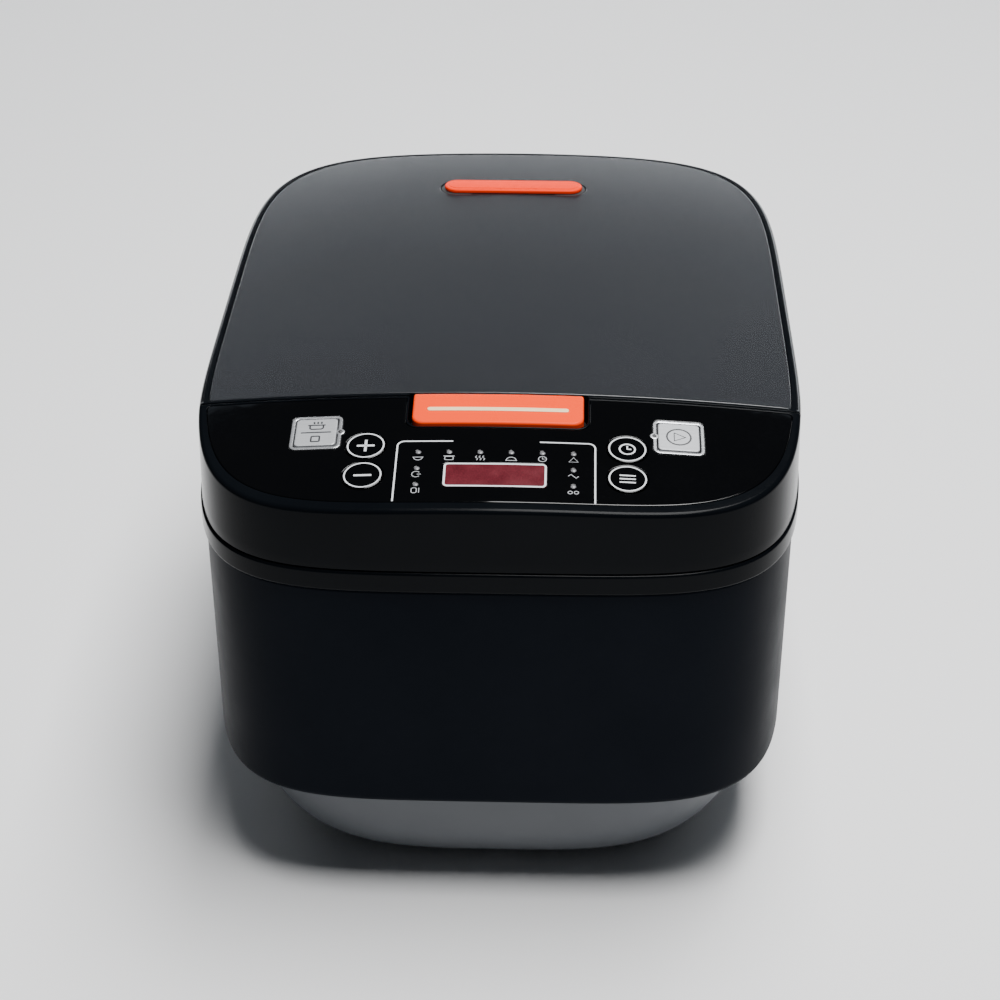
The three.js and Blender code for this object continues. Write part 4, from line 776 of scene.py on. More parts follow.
def grown(name, tree, source, **inputs):
    """The mesh that a tree makes from a source mesh; keyword names are the inputs' names in lower case."""
    work = placed(name, source)
    shape = work.modifiers.new("shape", "NODES")
    shape.node_group = tree
    for item in tree.interface.items_tree:
        key = item.name.lower().replace(" ", "_")
        if item.item_type == "SOCKET" and item.in_out == "INPUT" and key in inputs:
            shape[item.identifier] = inputs[key]
    made = baked(work)
    bpy.data.objects.remove(work)
    return made


def source_mesh(name, points, edges=(), facing=None):
    mesh = bpy.data.meshes.new(name)
    mesh.from_pydata([tuple(c * MM for c in p) for p in points], list(edges), [])
    if facing is not None:
        attribute = mesh.attributes.new("facing", "FLOAT_VECTOR", "POINT")
        attribute.data.foreach_set("vector", [c for f in facing for c in f])
    return mesh


def swept_body(name, profile, power, material, slot, replaces, steps=320):
    """A piece of the body, swept from its profile of (inset, height) points."""
    source = source_mesh(name + "_profile", [(inset, 0, z) for inset, z in profile + profile[:1]])
    mesh = grown(name, rounded_body, source, half_width=HALF_WIDTH * MM, half_depth=HALF_DEPTH * MM,
                 corner_power=power, rows=len(profile) + 1, steps=steps, material=material)
    return finished(name, mesh, "body", material, slot, replaces)


def printed(name, lines, width, material, body, slot, rise=0.04, lift=on_console):
    """Printing on a face: ribbons along flat lines, raised a hair and lifted onto the face.
    A line whose last point is its first is closed."""
    points, edges = [], []
    for line in lines:
        closed = math.dist(line[0], line[-1]) < 1e-6
        kept = line[:-1] if closed else line
        first = len(points)
        points += [(x, y, 0) for x, y in kept]
        edges += [(first + i, first + i + 1) for i in range(len(kept) - 1)]
        if closed:
            edges.append((first + len(kept) - 1, first))
    mesh = grown(name, printed_line, source_mesh(name + "_lines", points, edges), width=width * MM,
                 height=2 * rise * MM, material=material)
    for vertex in mesh.vertices:
        vertex.co = [c * MM for c in lift(*(c / MM for c in vertex.co))]
    return finished(name, mesh, body, material, slot)


def wire(name, points, radius, body, material, slot, replaces=(), sides=12):
    edges = [(i, i + 1) for i in range(len(points) - 1)]
    mesh = grown(name, wire_on_path, source_mesh(name + "_path", points, edges), radius=radius * MM,
                 resolution=sides, material=material)
    return finished(name, mesh, body, material, slot, replaces)


def studs(name, points, facing, radius, rise, body, material, slot, replaces=(), sides=20):
    mesh = grown(name, studs_in_places, source_mesh(name + "_points", points, facing=facing), radius=radius * MM,
                 rise=rise * MM, sides=sides, material=material)
    return finished(name, mesh, body, material, slot, replaces)


# ------------------------------------------------------------------ body


SHELL_INSET = 1.6
SHELL_DRAFT = 1.0
SHELL_WALL = 2.5
FOOT_ROUND = 4.5
SIDE_ROWS = 6

shell_foot, shell_top = shell_low[2], shell_high[2]
foot_inset = SHELL_INSET + SHELL_DRAFT + FOOT_ROUND
side_foot = shell_foot + FOOT_ROUND
shell_profile = (
    [(SHELL_INSET + 10, shell_foot), (foot_inset + 2, shell_foot)]
    + arc_line(FOOT_ROUND, (foot_inset, side_foot), 270, 180, 8)
    + [(SHELL_INSET + SHELL_DRAFT * (1 - k / SIDE_ROWS), side_foot + (shell_top - 1.4 - shell_foot - FOOT_ROUND)
        * k / SIDE_ROWS) for k in range(1, SIDE_ROWS + 1)]
    + [(SHELL_INSET + 0.15, shell_top - 0.6), (SHELL_INSET + 0.6, shell_top - 0.1),
       (SHELL_INSET + SHELL_WALL, shell_top - 0.1), (SHELL_INSET + SHELL_DRAFT + SHELL_WALL, shell_foot + 7),
       (SHELL_INSET + 10, shell_foot + SHELL_WALL)]
)
inlet_x, _, inlet_z = middle("power_inlet")
INLET_HALF_WIDTH = 15.3
INLET_HALF_HEIGHT = 11.3
body_shell = swept_body("body_shell", shell_profile, CORNER_POWER, satin_shell, "shell", ["outer_shell"])
cut_boxes(body_shell, [((inlet_x - INLET_HALF_WIDTH, HALF_DEPTH - 20, inlet_z - INLET_HALF_HEIGHT),
                        (inlet_x + INLET_HALF_WIDTH, HALF_DEPTH + 5, inlet_z + INLET_HALF_HEIGHT))])

band_foot = band_low[2]
BAND_ROUND = 1.3
band_profile = (
    [(4.0, band_foot), (BAND_ROUND + 0.4, band_foot)]
    + arc_line(BAND_ROUND, (BAND_ROUND, band_foot + BAND_ROUND), 270, 180, 6)
    + [(0.0, band_foot + 3.6), (0.0, TOP_Z - 3.6)]
    + arc_line(BAND_ROUND, (BAND_ROUND, TOP_Z - BAND_ROUND), 180, 90, 6)
    + [(BAND_ROUND + 0.4, TOP_Z), (4.0, TOP_Z)]
)
swept_body("body_band", band_profile, CORNER_POWER, gloss_black, "gloss", ["trim_band"])

BASE_INSET = 9.5
BASE_SLOPE = 32.0
BASE_STEPS = 18
base_foot, base_top = base_low[2], base_high[2]
angles = [math.pi / 2 * k / BASE_STEPS for k in range(BASE_STEPS + 1)]
curve = [(BASE_INSET + BASE_SLOPE * (1 - math.cos(a)), base_top - (base_top - base_foot) * math.sin(a))
         for a in angles]
inner_curve = [(inset + SHELL_WALL, max(z, base_foot + SHELL_WALL)) for inset, z in reversed(curve)]
base_profile = curve + [(curve[-1][0] + 3, base_foot), (curve[-1][0] + 3, base_foot + SHELL_WALL)] + inner_curve
swept_body("base_bowl", base_profile, BASE_POWER, base_grey, "base", ["base_tray"])

SLOT_FROM_FRONT = 83.5
SLOT_PITCH = 14
slots = [rounded_loop(5, 36, 2.4, (k * SLOT_PITCH, SLOT_FROM_FRONT - HALF_DEPTH)) for k in range(-2, 3)]
pad("base_floor", body_loop(curve[-1][0] + 2.6, BASE_POWER, 160), slots,
    lambda u, v, w: (u, v, base_foot + 0.15 - w), 2.0, "body", base_grey, "base", edge=0.2, hole_edge=0.3)

for corner in ("front_left", "front_right", "rear_left", "rear_right"):
    low, high = node_box("foot_" + corner)
    r, top = (high[0] - low[0]) / 2, high[2]
    tread = [(0, 0.5)] + [(r - inset, z) for inset, z in (
        (6.4, 0.5), (6.0, 0.0), (4.4, 0.0), (4.0, 0.5), (3.4, 0.5), (3.0, 0.0), (1.0, 0.0), (0.3, 0.3), (0, 1.0),
        (0, top - 0.6), (0.3, top - 0.15), (0.8, top))] + [(0, top)]
    turned("foot_pad_" + corner, tread, middle("foot_" + corner)[:2], "body", foot_rubber, "rubber",
           ["foot_" + corner], sides=64, ring=False)

# ------------------------------------------------------------------ console


def slope(node_name, half, rise):
    """How far a console node's middle lies up the slope, from its lowest y."""
    low, _ = node_box(node_name)
    return (low[1] - SEAM_Y + half * math.cos(TILT) + rise * math.sin(TILT)) / math.cos(TILT)


FRAME_RISE = 0.25
SQUARE_RISE = 0.5
ROUND_RISE = 0.5
square_keys = {name: (middle(name + "_key_frame")[0], slope(name + "_key_frame", SQUARE_FRAME_SIZE / 2, 0.3))
               for name in ("cancel", "start")}
round_keys = {name: (middle(name)[0], slope(name, ROUND_KEY_RADIUS, ROUND_RISE))
              for name in ("plus_key", "minus_key", "upper_menu_key", "lower_menu_key")}
window_low, window_high = node_box("display_window")
WINDOW_WIDTH = window_high[0] - window_low[0]
WINDOW_DEPTH = 15.4
window_v = slope("display_window", WINDOW_DEPTH / 2, 0)
PIP_PITCH = 13.3
PIP_COLUMN = 33.3
pip_rows = (window_v + 15.0, window_v + 4.3, window_v - 6.2)
pips = [(k * PIP_PITCH, pip_rows[0]) for k in (-2.5, -1.5, -0.5, 0.5, 1.5, 2.5)]
pips += [(side * PIP_COLUMN, v) for v in pip_rows[1:] for side in (-1, 1)]
BUTTON_DEPTH = 20.6
BUTTON_RISE = 0.45
button_v = slope("release_button", BUTTON_DEPTH / 2, BUTTON_RISE)
NOTCH_GAP = 1.8
NOTCH_FRONT = SEAM_Y + (button_v - BUTTON_DEPTH / 2 - NOTCH_GAP) * math.cos(TILT)


def in_plan(loop):
    """A loop given in x and v as a plan loop of x and y."""
    return [(x, SEAM_Y + v * math.cos(TILT)) for x, v in loop]


def lift_console(x, y, w):
    return on_console(x, (y - SEAM_Y) / math.cos(TILT), w)


skirt_foot = console_low[2]
SEAM_CORNER = 1.2
NOTCH_LAND = 0.9
rim_low, rim_high = [console_loop(inset, inset, CONSOLE_BACK_Y, SEAM_CORNER, 0.0, NOTCH_FRONT)
                     for inset in (SIDE_INSET, SIDE_INSET + SIDE_DRAFT)]
top_inset = SIDE_INSET + SIDE_DRAFT
fascia_plan = console_loop(top_inset + FASCIA_SIDE, top_inset + FASCIA_FRONT, CONSOLE_BACK_Y - FASCIA_BACK, 2.2,
                           NOTCH_LAND, NOTCH_FRONT - NOTCH_LAND)


def ease(t):
    t = min(1.0, max(0.0, t))
    return t * t * (3 - 2 * t)


def arc_weights(total):
    """For each point of a lid or console outline: 1 along the body's outline, 0 along the seam."""
    made = []
    for i in range(total):
        past = i - CORNER_POINTS - ARC_POINTS + 1
        away = (i + 1) / (CORNER_POINTS + 1) if i < CORNER_POINTS else 1 - max(0, past) / (CORNER_POINTS + 1)
        made.append(ease(away))
    return made


rim_weight = arc_weights(len(rim_low))


def drafted(low, high, heights):
    """An outline whose points lean from the foot's outline towards the one SIDE_HEIGHT above it."""
    shares = [(z - skirt_foot) / SIDE_HEIGHT for z in heights]
    return [tuple(a + (b - a) * t for a, b in zip(p, q)) for p, q, t in zip(low, high, shares)]


def rim_ring(extra, heights):
    """A row of the rim: extra inset for each point, and each point's height."""
    plan = offset(drafted(rim_low, rim_high, heights), extra)
    return [(x, y, z) for (x, y), z in zip(plan, heights)]


def by_notch(point):
    return abs(point[0]) < NOTCH_HALF + 1.5 and point[1] > NOTCH_FRONT - 1.5


RIM_ROUND = 1.9
SEAM_ROUND = 0.35
POCKET_DEPTH = 15.0
rim_round = [SEAM_ROUND + (RIM_ROUND - SEAM_ROUND) * w for w in rim_weight]
rim_top = [console_top(x, y) for x, y in rim_high]
rim_foot = [console_top(*p) - POCKET_DEPTH if by_notch(p) else skirt_foot for p in rim_high]
flat_foot = offset(rim_low, [2.7 * w + 0.85 * (1 - w) for w in rim_weight])
rows = [[(x, y, f) for (x, y), f in zip(flat_foot, rim_foot)],
        rim_ring([0.5 * w for w in rim_weight], rim_foot), rim_ring(0.0, [f + 0.6 for f in rim_foot])]
rows += [rim_ring(0.0, [f + (t - r - f) * k / 5 for f, t, r in zip(rim_foot, rim_top, rim_round)])
         for k in range(1, 5)]
for inward, down in reversed(quarter(1.0, 7)):
    plan = offset(drafted(rim_low, rim_high, rim_top), [r * inward for r in rim_round])
    rows.append([(x, y, console_top(x, y) - r * down) for (x, y), r in zip(plan, rim_round)])
for grow, w in ((-0.32, 0.0), (-0.10, -0.10), (0.0, -0.32), (0.0, -2.6)):
    rows.append([lift_console(x, y, w) for x, y in offset(fascia_plan, grow)])
rim = Skin()
made = rim.rows(rows)
rim.bridge(made[-1], made[0])
from_skin("console_rim", rim, "body", gloss_black, "gloss", ["console_housing"], sharp=50)



def square_holes(size, radius):
    return [in_plan(rounded_loop(size, size, radius, p)) for p in square_keys.values()]


round_holes = [in_plan(circle_loop(ROUND_KEY_RADIUS + 0.45, p)) for p in round_keys.values()]
window_hole = [in_plan(fine(rounded_loop(WINDOW_WIDTH + 0.5, WINDOW_DEPTH + 0.5, 2.1, (0, window_v))))]
pip_holes = [in_plan(circle_loop(1.25, p, 16)) for p in pips]
fascia_holes = square_holes(SQUARE_FRAME_SIZE + 0.7, 3.3) + round_holes + window_hole + pip_holes
pad("fascia_sheet", offset(fascia_plan, 0.22), fascia_holes, lift_console, 1.8, "body", fascia_black, "gloss",
    ["control_fascia"], edge=0.45, hole_edge=0.22, spacing=7.0)

lit_hole = [in_plan(rounded_loop(WINDOW_WIDTH - 2, WINDOW_DEPTH - 2, 1.0, (0, window_v)))]
pad("console_deck", offset(fascia_plan, -0.4),
    square_holes(SQUARE_KEY_SIZE + 0.8, 2.1) + round_holes + lit_hole + pip_holes,
    lambda x, y, w: lift_console(x, y, w - 2.15), 2.5, "body", inner_black, "part", edge=0.2, hole_edge=0.2,
    spacing=12.0)
pad("button_seat", in_plan(rounded_loop(2 * NOTCH_HALF - 0.6, BUTTON_DEPTH + 1.6, NOTCH_RADIUS - 0.4,
                                        (0, button_v + 0.4))), [],
    lambda x, y, w: lift_console(x, y, w - 13.6), 1.6, "body", pocket_grey, "part", edge=0.3, spacing=9.0)

HOOK_GAP_Z = 197.75
wall_top = console_top(0, CONSOLE_BACK_Y) - 14.4
wall_loop = rounded_loop(2 * NOTCH_HALF + 1.2, wall_top - skirt_foot, 0.6, (0, (wall_top + skirt_foot) / 2))
hook_gap = rounded_loop(14.0, 10.5, 1.0, (0, HOOK_GAP_Z))
pad("latch_wall", wall_loop, [hook_gap], lambda u, v, w: (u, CONSOLE_BACK_Y - 0.1 + w, v), 2.5, "body", gloss_black,
    "gloss", edge=0.3, hole_edge=0.3, spacing=12.0)

# ------------------------------------------------------------------ keys, display and printing


def flat_key(name, centre, size, radius, low, high, edge, body, material, replaces, hole=None):
    """A key or frame square to the console; low and high are its heights above the console."""
    loop = rounded_loop(size, size, radius, centre)
    holes = [rounded_loop(hole, hole, max(0.8, radius - (size - hole) / 2), centre)] if hole else []
    pad(name, loop, holes, on_face(centre, high), high - low, body, material, "silver", replaces, edge=edge,
        hole_edge=0.3)


def on_key(x, v, w, centre):
    """Like on_console, but flat: the plane that touches the console's crown at centre."""
    slant = -2 * CROWN_DROP * centre[0] / HALF_WIDTH ** 2
    _, y, z = on_console(centre[0], v, w)
    return (centre[0] + (x - centre[0]) - w * slant, y, z + (x - centre[0]) * slant)


def on_face(centre, rise):
    """Places points on a key's own flat face, or above it."""
    return lambda x, v, w: on_key(x, v, w + rise, centre)


for name, centre in square_keys.items():
    flat_key(name + "_frame", centre, SQUARE_FRAME_SIZE, 3.0, -1.9, FRAME_RISE, 0.35, "body", frame_silver,
             [name + "_key_frame"], hole=SQUARE_KEY_SIZE + 1.2)
    flat_key(name + "_cap", centre, SQUARE_KEY_SIZE, 1.8, -3.2, SQUARE_RISE, 0.45, name + "_key", key_silver,
             [name + "_key"])

DISH = 0.22
for name, centre in round_keys.items():
    skin = Skin()
    profile = [(ROUND_KEY_RADIUS * k / 8, -DISH + DISH * (k / 8) ** 2) for k in range(1, 8)]
    profile += [(ROUND_KEY_RADIUS - 0.45, -0.02), (ROUND_KEY_RADIUS - 0.2, -0.08), (ROUND_KEY_RADIUS - 0.05, -0.22),
                (ROUND_KEY_RADIUS, -0.45), (ROUND_KEY_RADIUS, -3.4)]
    rows = skin.rows([[on_key(x, v, w + ROUND_RISE, centre) for x, v in circle_loop(r, centre, 64)]
                      for r, w in profile])
    skin.cap(rows[0], on_key(*centre, ROUND_RISE - DISH, centre))
    skin.cap(rows[-1], on_key(*centre, ROUND_RISE - 3.4, centre))
    from_skin(name + "_cap", skin, name, fascia_black, "gloss", [name])

display_loop = fine(rounded_loop(WINDOW_WIDTH, WINDOW_DEPTH, 1.8, (0, window_v)))
pad("display_glass", display_loop, [], lambda x, v, w: on_console(x, v, w + 0.02), 1.2, "body", window_red, "lens",
    ["display_window"], edge=0.25, spacing=6.0)
lamp_normal = Vector(on_console(0, 0, 1)) - Vector(on_console(0, 0, 0))
studs("indicator_lamps", [on_console(x, v, -0.25) for x, v in pips], [lamp_normal.normalized()] * len(pips), 1.2,
      0.42, "body", lamp_grey, "white", ["light_guide"])


def closed(loop):
    return loop + loop[:1]


def ring_line(radius, centre, count=64):
    return closed(circle_loop(radius, centre, count))


def boxed(width, height, radius, centre):
    return closed(rounded_loop(width, height, radius, centre))


def run(points):
    """A line through corners, with points close enough to follow the console's crown."""
    made = [points[0]]
    for p, q in zip(points, points[1:]):
        count = max(1, int(math.dist(p, q) / 3))
        made += [tuple(a + (b - a) * k / count for a, b in zip(p, q)) for k in range(1, count + 1)]
    return made


border = fine(rounded_loop(WINDOW_WIDTH - 1.0, WINDOW_DEPTH - 1.0, 1.6, (0, window_v)))
printed("display_border", [closed(border)], 0.85, ink_white, "body", "white", rise=0.06)

BRACKET_TOP = -31.8
BRACKET_FOOT = -70.9
BRACKET_OUT = 42.5
BRACKET_IN = 18.7
brackets = []
for side in (-1, 1):
    corner = [(side * BRACKET_IN, BRACKET_TOP), (side * (BRACKET_OUT - 3), BRACKET_TOP)]
    bend = arc_line(3, (side * (BRACKET_OUT - 3), BRACKET_TOP - 3), 90, 0 if side > 0 else 180, 8)
    brackets.append(run(corner) + bend[1:] + run([bend[-1], (side * BRACKET_OUT, BRACKET_FOOT)])[1:])
printed("bracket_lines", brackets, 0.7, ink_white, "body", "white")

dish = ROUND_RISE - 0.05
for name, centre in round_keys.items():
    x, v = centre
    printed(name + "_ring", [ring_line(ROUND_KEY_RADIUS - 1.0, centre)], 0.65, ink_white, name, "white",
            lift=on_face(centre, dish + 0.02))
    if name == "plus_key":
        marks = [[(x - 3.8, v), (x + 3.8, v)], [(x, v - 3.8), (x, v + 3.8)]]
    elif name == "minus_key":
        marks = [[(x - 3.8, v), (x + 3.8, v)]]
    elif name == "upper_menu_key":
        marks = [ring_line(3.3, centre, 32), [(x, v + 2.1), (x, v), (x + 1.7, v)]]
    else:
        marks = [[(x - 3.4, v + h), (x + 3.4, v + h)] for h in (-2.2, 0.0, 2.2)]
    bold = 1.1 if name in ("plus_key", "minus_key") else 0.75
    printed(name + "_mark", marks, bold, ink_white, name, "white", lift=on_face(centre, dish - 0.12))

face = SQUARE_RISE + 0.01
cx, cv = square_keys["cancel"]
dividing = [(cx - 6.6, cv - 0.2), (cx + 6.6, cv - 0.2)]
pot_mark = [(cx - 2.9, cv + 4.6), (cx - 2.9, cv + 2.7), (cx - 2.2, cv + 2.0), (cx + 2.2, cv + 2.0),
            (cx + 2.9, cv + 2.7), (cx + 2.9, cv + 4.6)]
steam_marks = [[(cx + d, cv + 5.6), (cx + d + 0.35, cv + 6.2), (cx + d, cv + 6.9)] for d in (-1.4, 0.2, 1.8)]
stop_mark = [boxed(3.6, 3.6, 0.5, (cx, cv - 4.6))]
printed("cancel_key_mark", [dividing, pot_mark, [(cx - 3.8, cv + 4.7), (cx + 3.8, cv + 4.7)]] + steam_marks
        + stop_mark, 0.75, ink_dark, "cancel_key", "part", lift=on_face((cx, cv), face))
sx, sv = square_keys["start"]
play_mark = [(sx - 2.0, sv - 2.7), (sx + 2.9, sv), (sx - 2.0, sv + 2.7), (sx - 2.0, sv - 2.7)]
printed("start_key_mark", [play_mark, ring_line(5.2, (sx, sv), 48)], 0.75, ink_dark, "start_key", "part",
        lift=on_face((sx, sv), face))
for name, (x, v) in square_keys.items():
    side = 1 if x < 0 else -1
    normal = Vector(on_key(x, v, 1, (x, v))) - Vector(on_key(x, v, 0, (x, v)))
    edge_x = x + side * (SQUARE_FRAME_SIZE / 2 - 0.5)
    pad(name + "_lamp_bump", circle_loop(1.9, (edge_x, v), 32), [],
        lambda u, h, w: on_key(u, h, w + FRAME_RISE + 0.12, (x, v)), 0.9, "body", frame_silver, "silver", edge=0.3)
    studs(name + "_lamp", [on_key(edge_x, v, FRAME_RISE + 0.1, (x, v))], [normal.normalized()], 0.95, 0.4, "body",
          inner_black, "part")


def small_marks(x, v):
    """Ten pictograms about five millimetres wide, all drawn about one point."""
    return [
        [[(x - 2.3, v + 0.5), (x + 2.3, v + 0.5)], arc_line(1.9, (x, v + 0.5), 180, 360, 14)],
        [boxed(3.6, 2.2, 0.5, (x, v - 0.2)), [(x - 2.4, v + 1.2), (x + 2.4, v + 1.2)]],
        [[(x + d, v - 1.5), (x + d + 0.5, v - 0.5), (x + d - 0.5, v + 0.5), (x + d, v + 1.5)] for d in (-1.5, 0, 1.5)],
        [arc_line(2.1, (x, v - 1.3), 0, 180, 14), [(x - 2.5, v - 1.4), (x + 2.5, v - 1.4)]],
        [ring_line(1.7, (x, v), 24), [(x, v + 1.0), (x, v), (x + 0.9, v)]],
        [[(x - 2, v - 1.4), (x, v + 1.6), (x + 2, v - 1.4), (x - 2, v - 1.4)]],
        [arc_line(1.8, (x - 0.2, v), 40, 320, 14), [(x + 0.2, v), (x + 1.9, v)]],
        [[(x - 2.2, v), (x - 1.1, v + 1.2), (x, v), (x + 1.1, v - 1.2), (x + 2.2, v)]],
        [boxed(2.2, 3.2, 0.9, (x - 0.5, v)), [(x + 1.6, v + 1.5), (x + 1.6, v - 1.5)]],
        [ring_line(0.9, (x - 1.3, v), 20), ring_line(0.9, (x + 1.3, v), 20)],
    ]


MARK_DROP = 4.0
lamp_marks = [line for k, (x, v) in enumerate(pips) for line in small_marks(x, v - MARK_DROP)[k]]
printed("lamp_marks", lamp_marks, 0.34, ink_grey, "body", "white", rise=0.03)

# ------------------------------------------------------------------ release button


BUTTON_CORNER = 5.0
REAR_CORNER = 1.2
BUTTON_BEVEL = 1.3
BUTTON_SKIRT = 7.0


def button_outline():
    """Rounded in front and nearly square behind."""
    half = (button_high[0] - button_low[0]) / 2
    back = button_v + BUTTON_DEPTH / 2
    made = []
    for x, v in fine(rounded_loop(2 * half, BUTTON_DEPTH, BUTTON_CORNER, (0, button_v))):
        corner = (math.copysign(half - BUTTON_CORNER, x), back - BUTTON_CORNER)
        reach = math.dist((x, v), corner)
        if v > corner[1] and abs(x) > half - BUTTON_CORNER - 0.01 and reach > 1e-6:
            x = math.copysign(half - REAR_CORNER, x) + (x - corner[0]) / reach * REAR_CORNER
            v = back - REAR_CORNER + (v - corner[1]) / reach * REAR_CORNER
        made.append((x, v))
    return made


def button_foot(x, v):
    x, y, z = on_console(x, v, -1.0)
    return (x, y, z - BUTTON_SKIRT)


def button_cap():
    """The orange button with a soft bevel."""
    outline = button_outline()
    rows = [(offset(outline, inward), BUTTON_RISE - down) for inward, down in quarter(BUTTON_BEVEL, 6)]
    rows.append((outline, -1.0))
    skin = Skin()
    made = skin.rows([[on_console(x, v, w) for x, v in loop] for loop, w in rows]
                     + [[button_foot(x, v) for x, v in outline]])
    skin.fill((made[0], rows[0][0]), [], lambda x, v: on_console(x, v, BUTTON_RISE), 5.0)
    skin.fill((made[-1], outline), [], button_foot, 12.0)
    from_skin("button_cap", skin, "release_button", button_orange, "orange", ["release_button"])


button_cap()
# A low rib along the button's middle, coloured cream as a painted highlight of the light's reflection there.
BAND_LENGTH = 62.0
BAND_WIDTH = 2.5
painted_highlight_v = button_v - 1.0
painted_highlight_loop = fine(rounded_loop(BAND_LENGTH, BAND_WIDTH, BAND_WIDTH / 2 - 0.02, (0, painted_highlight_v)), 2.0)
pad("button_band", painted_highlight_loop, [], lambda x, v, w: on_console(x, v, BUTTON_RISE + 0.35 + w), 0.8, "release_button",
    painted_highlight_cream, "orange", edge=0.3)

# ------------------------------------------------------------------ lid

lid_foot = lid_low[2]
spring_low, spring_high = node_box("hinge_spring")
LID_SHARP = 42
LID_WALL = 2.5
LID_FRONT_WALL = 4.0
FRAME_ROUND = 2.4
FRONT_ROUND = 0.35
BUTTON_NOTCH = 1.5
RECESS_DEPTH = 1.85
CEILING_DEPTH = 4.0
VENT_LENGTH = tray_high[0] - tray_low[0] + 0.8
VENT_WIDTH = tray_high[1] - tray_low[1] + 0.8


def capsule(length, width, step=4.0):
    return fine(rounded_loop(length, width, width / 2 - 0.01, (0, VENT_Y), 14), step)


def tucked(point, room=0.0):
    """Keeps the lid's rear foot within the knuckle's radius, so that it turns clear of the deck."""
    x, y, z = point
    if y <= HINGE_Y or z >= HINGE_Z:
        return point
    reach = max(0.0, (KNUCKLE_RADIUS - room) ** 2 - (z - HINGE_Z) ** 2) ** 0.5
    return (x, min(y, HINGE_Y + reach - room), z)


def below_lid(x, y, depth=0.0):
    return (x, y, lid_top(x, y) - depth)


def lid_cover():
    """The lid's shell: side wall, frame round the sunk panel, vent opening, ceiling and hinge cutouts."""
    skin = Skin()
    base, high = [lid_loop(inset, LID_FRONT_Y, SEAM_CORNER, BUTTON_NOTCH)
                  for inset in (SIDE_INSET, SIDE_INSET + SIDE_DRAFT)]
    weight = arc_weights(len(base))
    in_notch = [abs(x) < NOTCH_HALF + 0.5 and y < LID_FRONT_Y + BUTTON_NOTCH + 1 for x, y in base]
    rounds = [0.12 if notched else FRONT_ROUND + (FRAME_ROUND - FRONT_ROUND) * w for w, notched in
              zip(weight, in_notch)]
    tops = [lid_top(x, y) for x, y in base]

    def outer_row(heights, extra):
        plan = offset(drafted(base, high, heights), extra)
        return [tucked((x, y, z)) for (x, y), z in zip(plan, heights)]

    rows = []
    low_steps = [lid_foot + h for h in (0, 0.25, 0.6, 1.1, 1.8, 2.6)] + [HINGE_Z]
    foot_plan = None
    for k, z in enumerate(low_steps):
        row = outer_row([z] * len(base), [0.35 * w if k == 0 else 0.0 for w in weight])
        foot_plan = foot_plan or [(x, y) for x, y, _ in row]
        rows.append(row)
    for k in range(1, 7):
        rows.append(outer_row([HINGE_Z + (t - r - HINGE_Z) * k / 6 for t, r in zip(tops, rounds)],
                              0.0))
    for inward, down in reversed(quarter(1.0, 7)):
        edge_plan = offset(drafted(base, high, tops), [r * inward for r in rounds])
        rows.append([(x, y, lid_top(x, y) - r * down) for (x, y), r in zip(edge_plan, rounds)])
    outer = skin.rows(rows)

    recess = lid_loop(PANEL_INSET - 0.25, LID_FRONT_Y + PANEL_FRONT - 0.25, 1.8)
    sunk = skin.rows([[below_lid(x, y, d) for x, y in offset(recess, -o)] for o, d in
                      ((0.12, 0.0), (0.04, 0.04), (0.0, 0.14), (0.0, RECESS_DEPTH))])
    skin.fill((outer[-1], edge_plan), [(sunk[0], offset(recess, -0.12))], below_lid)

    hole = capsule(VENT_LENGTH, VENT_WIDTH)
    hole_top, hole_foot = skin.rows([[below_lid(x, y, d) for x, y in hole] for d in (RECESS_DEPTH, CEILING_DEPTH)])
    skin.fill((sunk[-1], recess), [(hole_top, hole)], lambda x, y: below_lid(x, y, RECESS_DEPTH), 14.0)

    inner = lid_loop(SIDE_INSET + SIDE_DRAFT + LID_WALL, LID_FRONT_Y + LID_FRONT_WALL, 2.0)
    inner_rows = [[below_lid(x, y, CEILING_DEPTH) for x, y in inner]]
    for z in [HINGE_Z + 4, HINGE_Z] + [lid_foot + h for h in (2.6, 1.8, 1.1, 0.6, 0)]:
        inner_rows.append([tucked((x, y, z), 1.2) for x, y in inner])
    within = skin.rows(inner_rows)
    skin.fill((within[0], inner), [(hole_foot, hole)], lambda x, y: below_lid(x, y, CEILING_DEPTH), 14.0)
    foot_inner = [(x, y) for x, y, _ in inner_rows[-1]]
    skin.fill((outer[0], foot_plan), [(within[-1], foot_inner)], lambda x, y: (x, y, lid_foot))
    cover = from_skin("lid_cover", skin, "lid", gloss_black, "gloss", ["lid_shell"], sharp=LID_SHARP)
    lug_x = middle("hinge_lug_right")[0]
    top = HINGE_Z + KNUCKLE_RADIUS + 1
    gaps = [(-lug_x - 4.4, -lug_x + 4.4, top), (lug_x - 4.4, lug_x + 4.4, top),
            (spring_low[0] - 1.6, spring_high[0] + 1.6, top - 0.4)]
    cut_boxes(cover, [((x0, HINGE_Y - 8, lid_foot - 8), (x1, HALF_DEPTH + 5, z)) for x0, x1, z in gaps], LID_SHARP)


lid_cover()

panel_loop = lid_loop(PANEL_INSET, LID_FRONT_Y + PANEL_FRONT, 1.8)
pad("lid_top_panel", panel_loop, [capsule(VENT_LENGTH, VENT_WIDTH)], lambda x, y, w: below_lid(x, y, -w), 1.5, "lid",
    lid_matte, "matte", ["lid_panel"], edge=0.45, hole_edge=0.4, spacing=9.0)


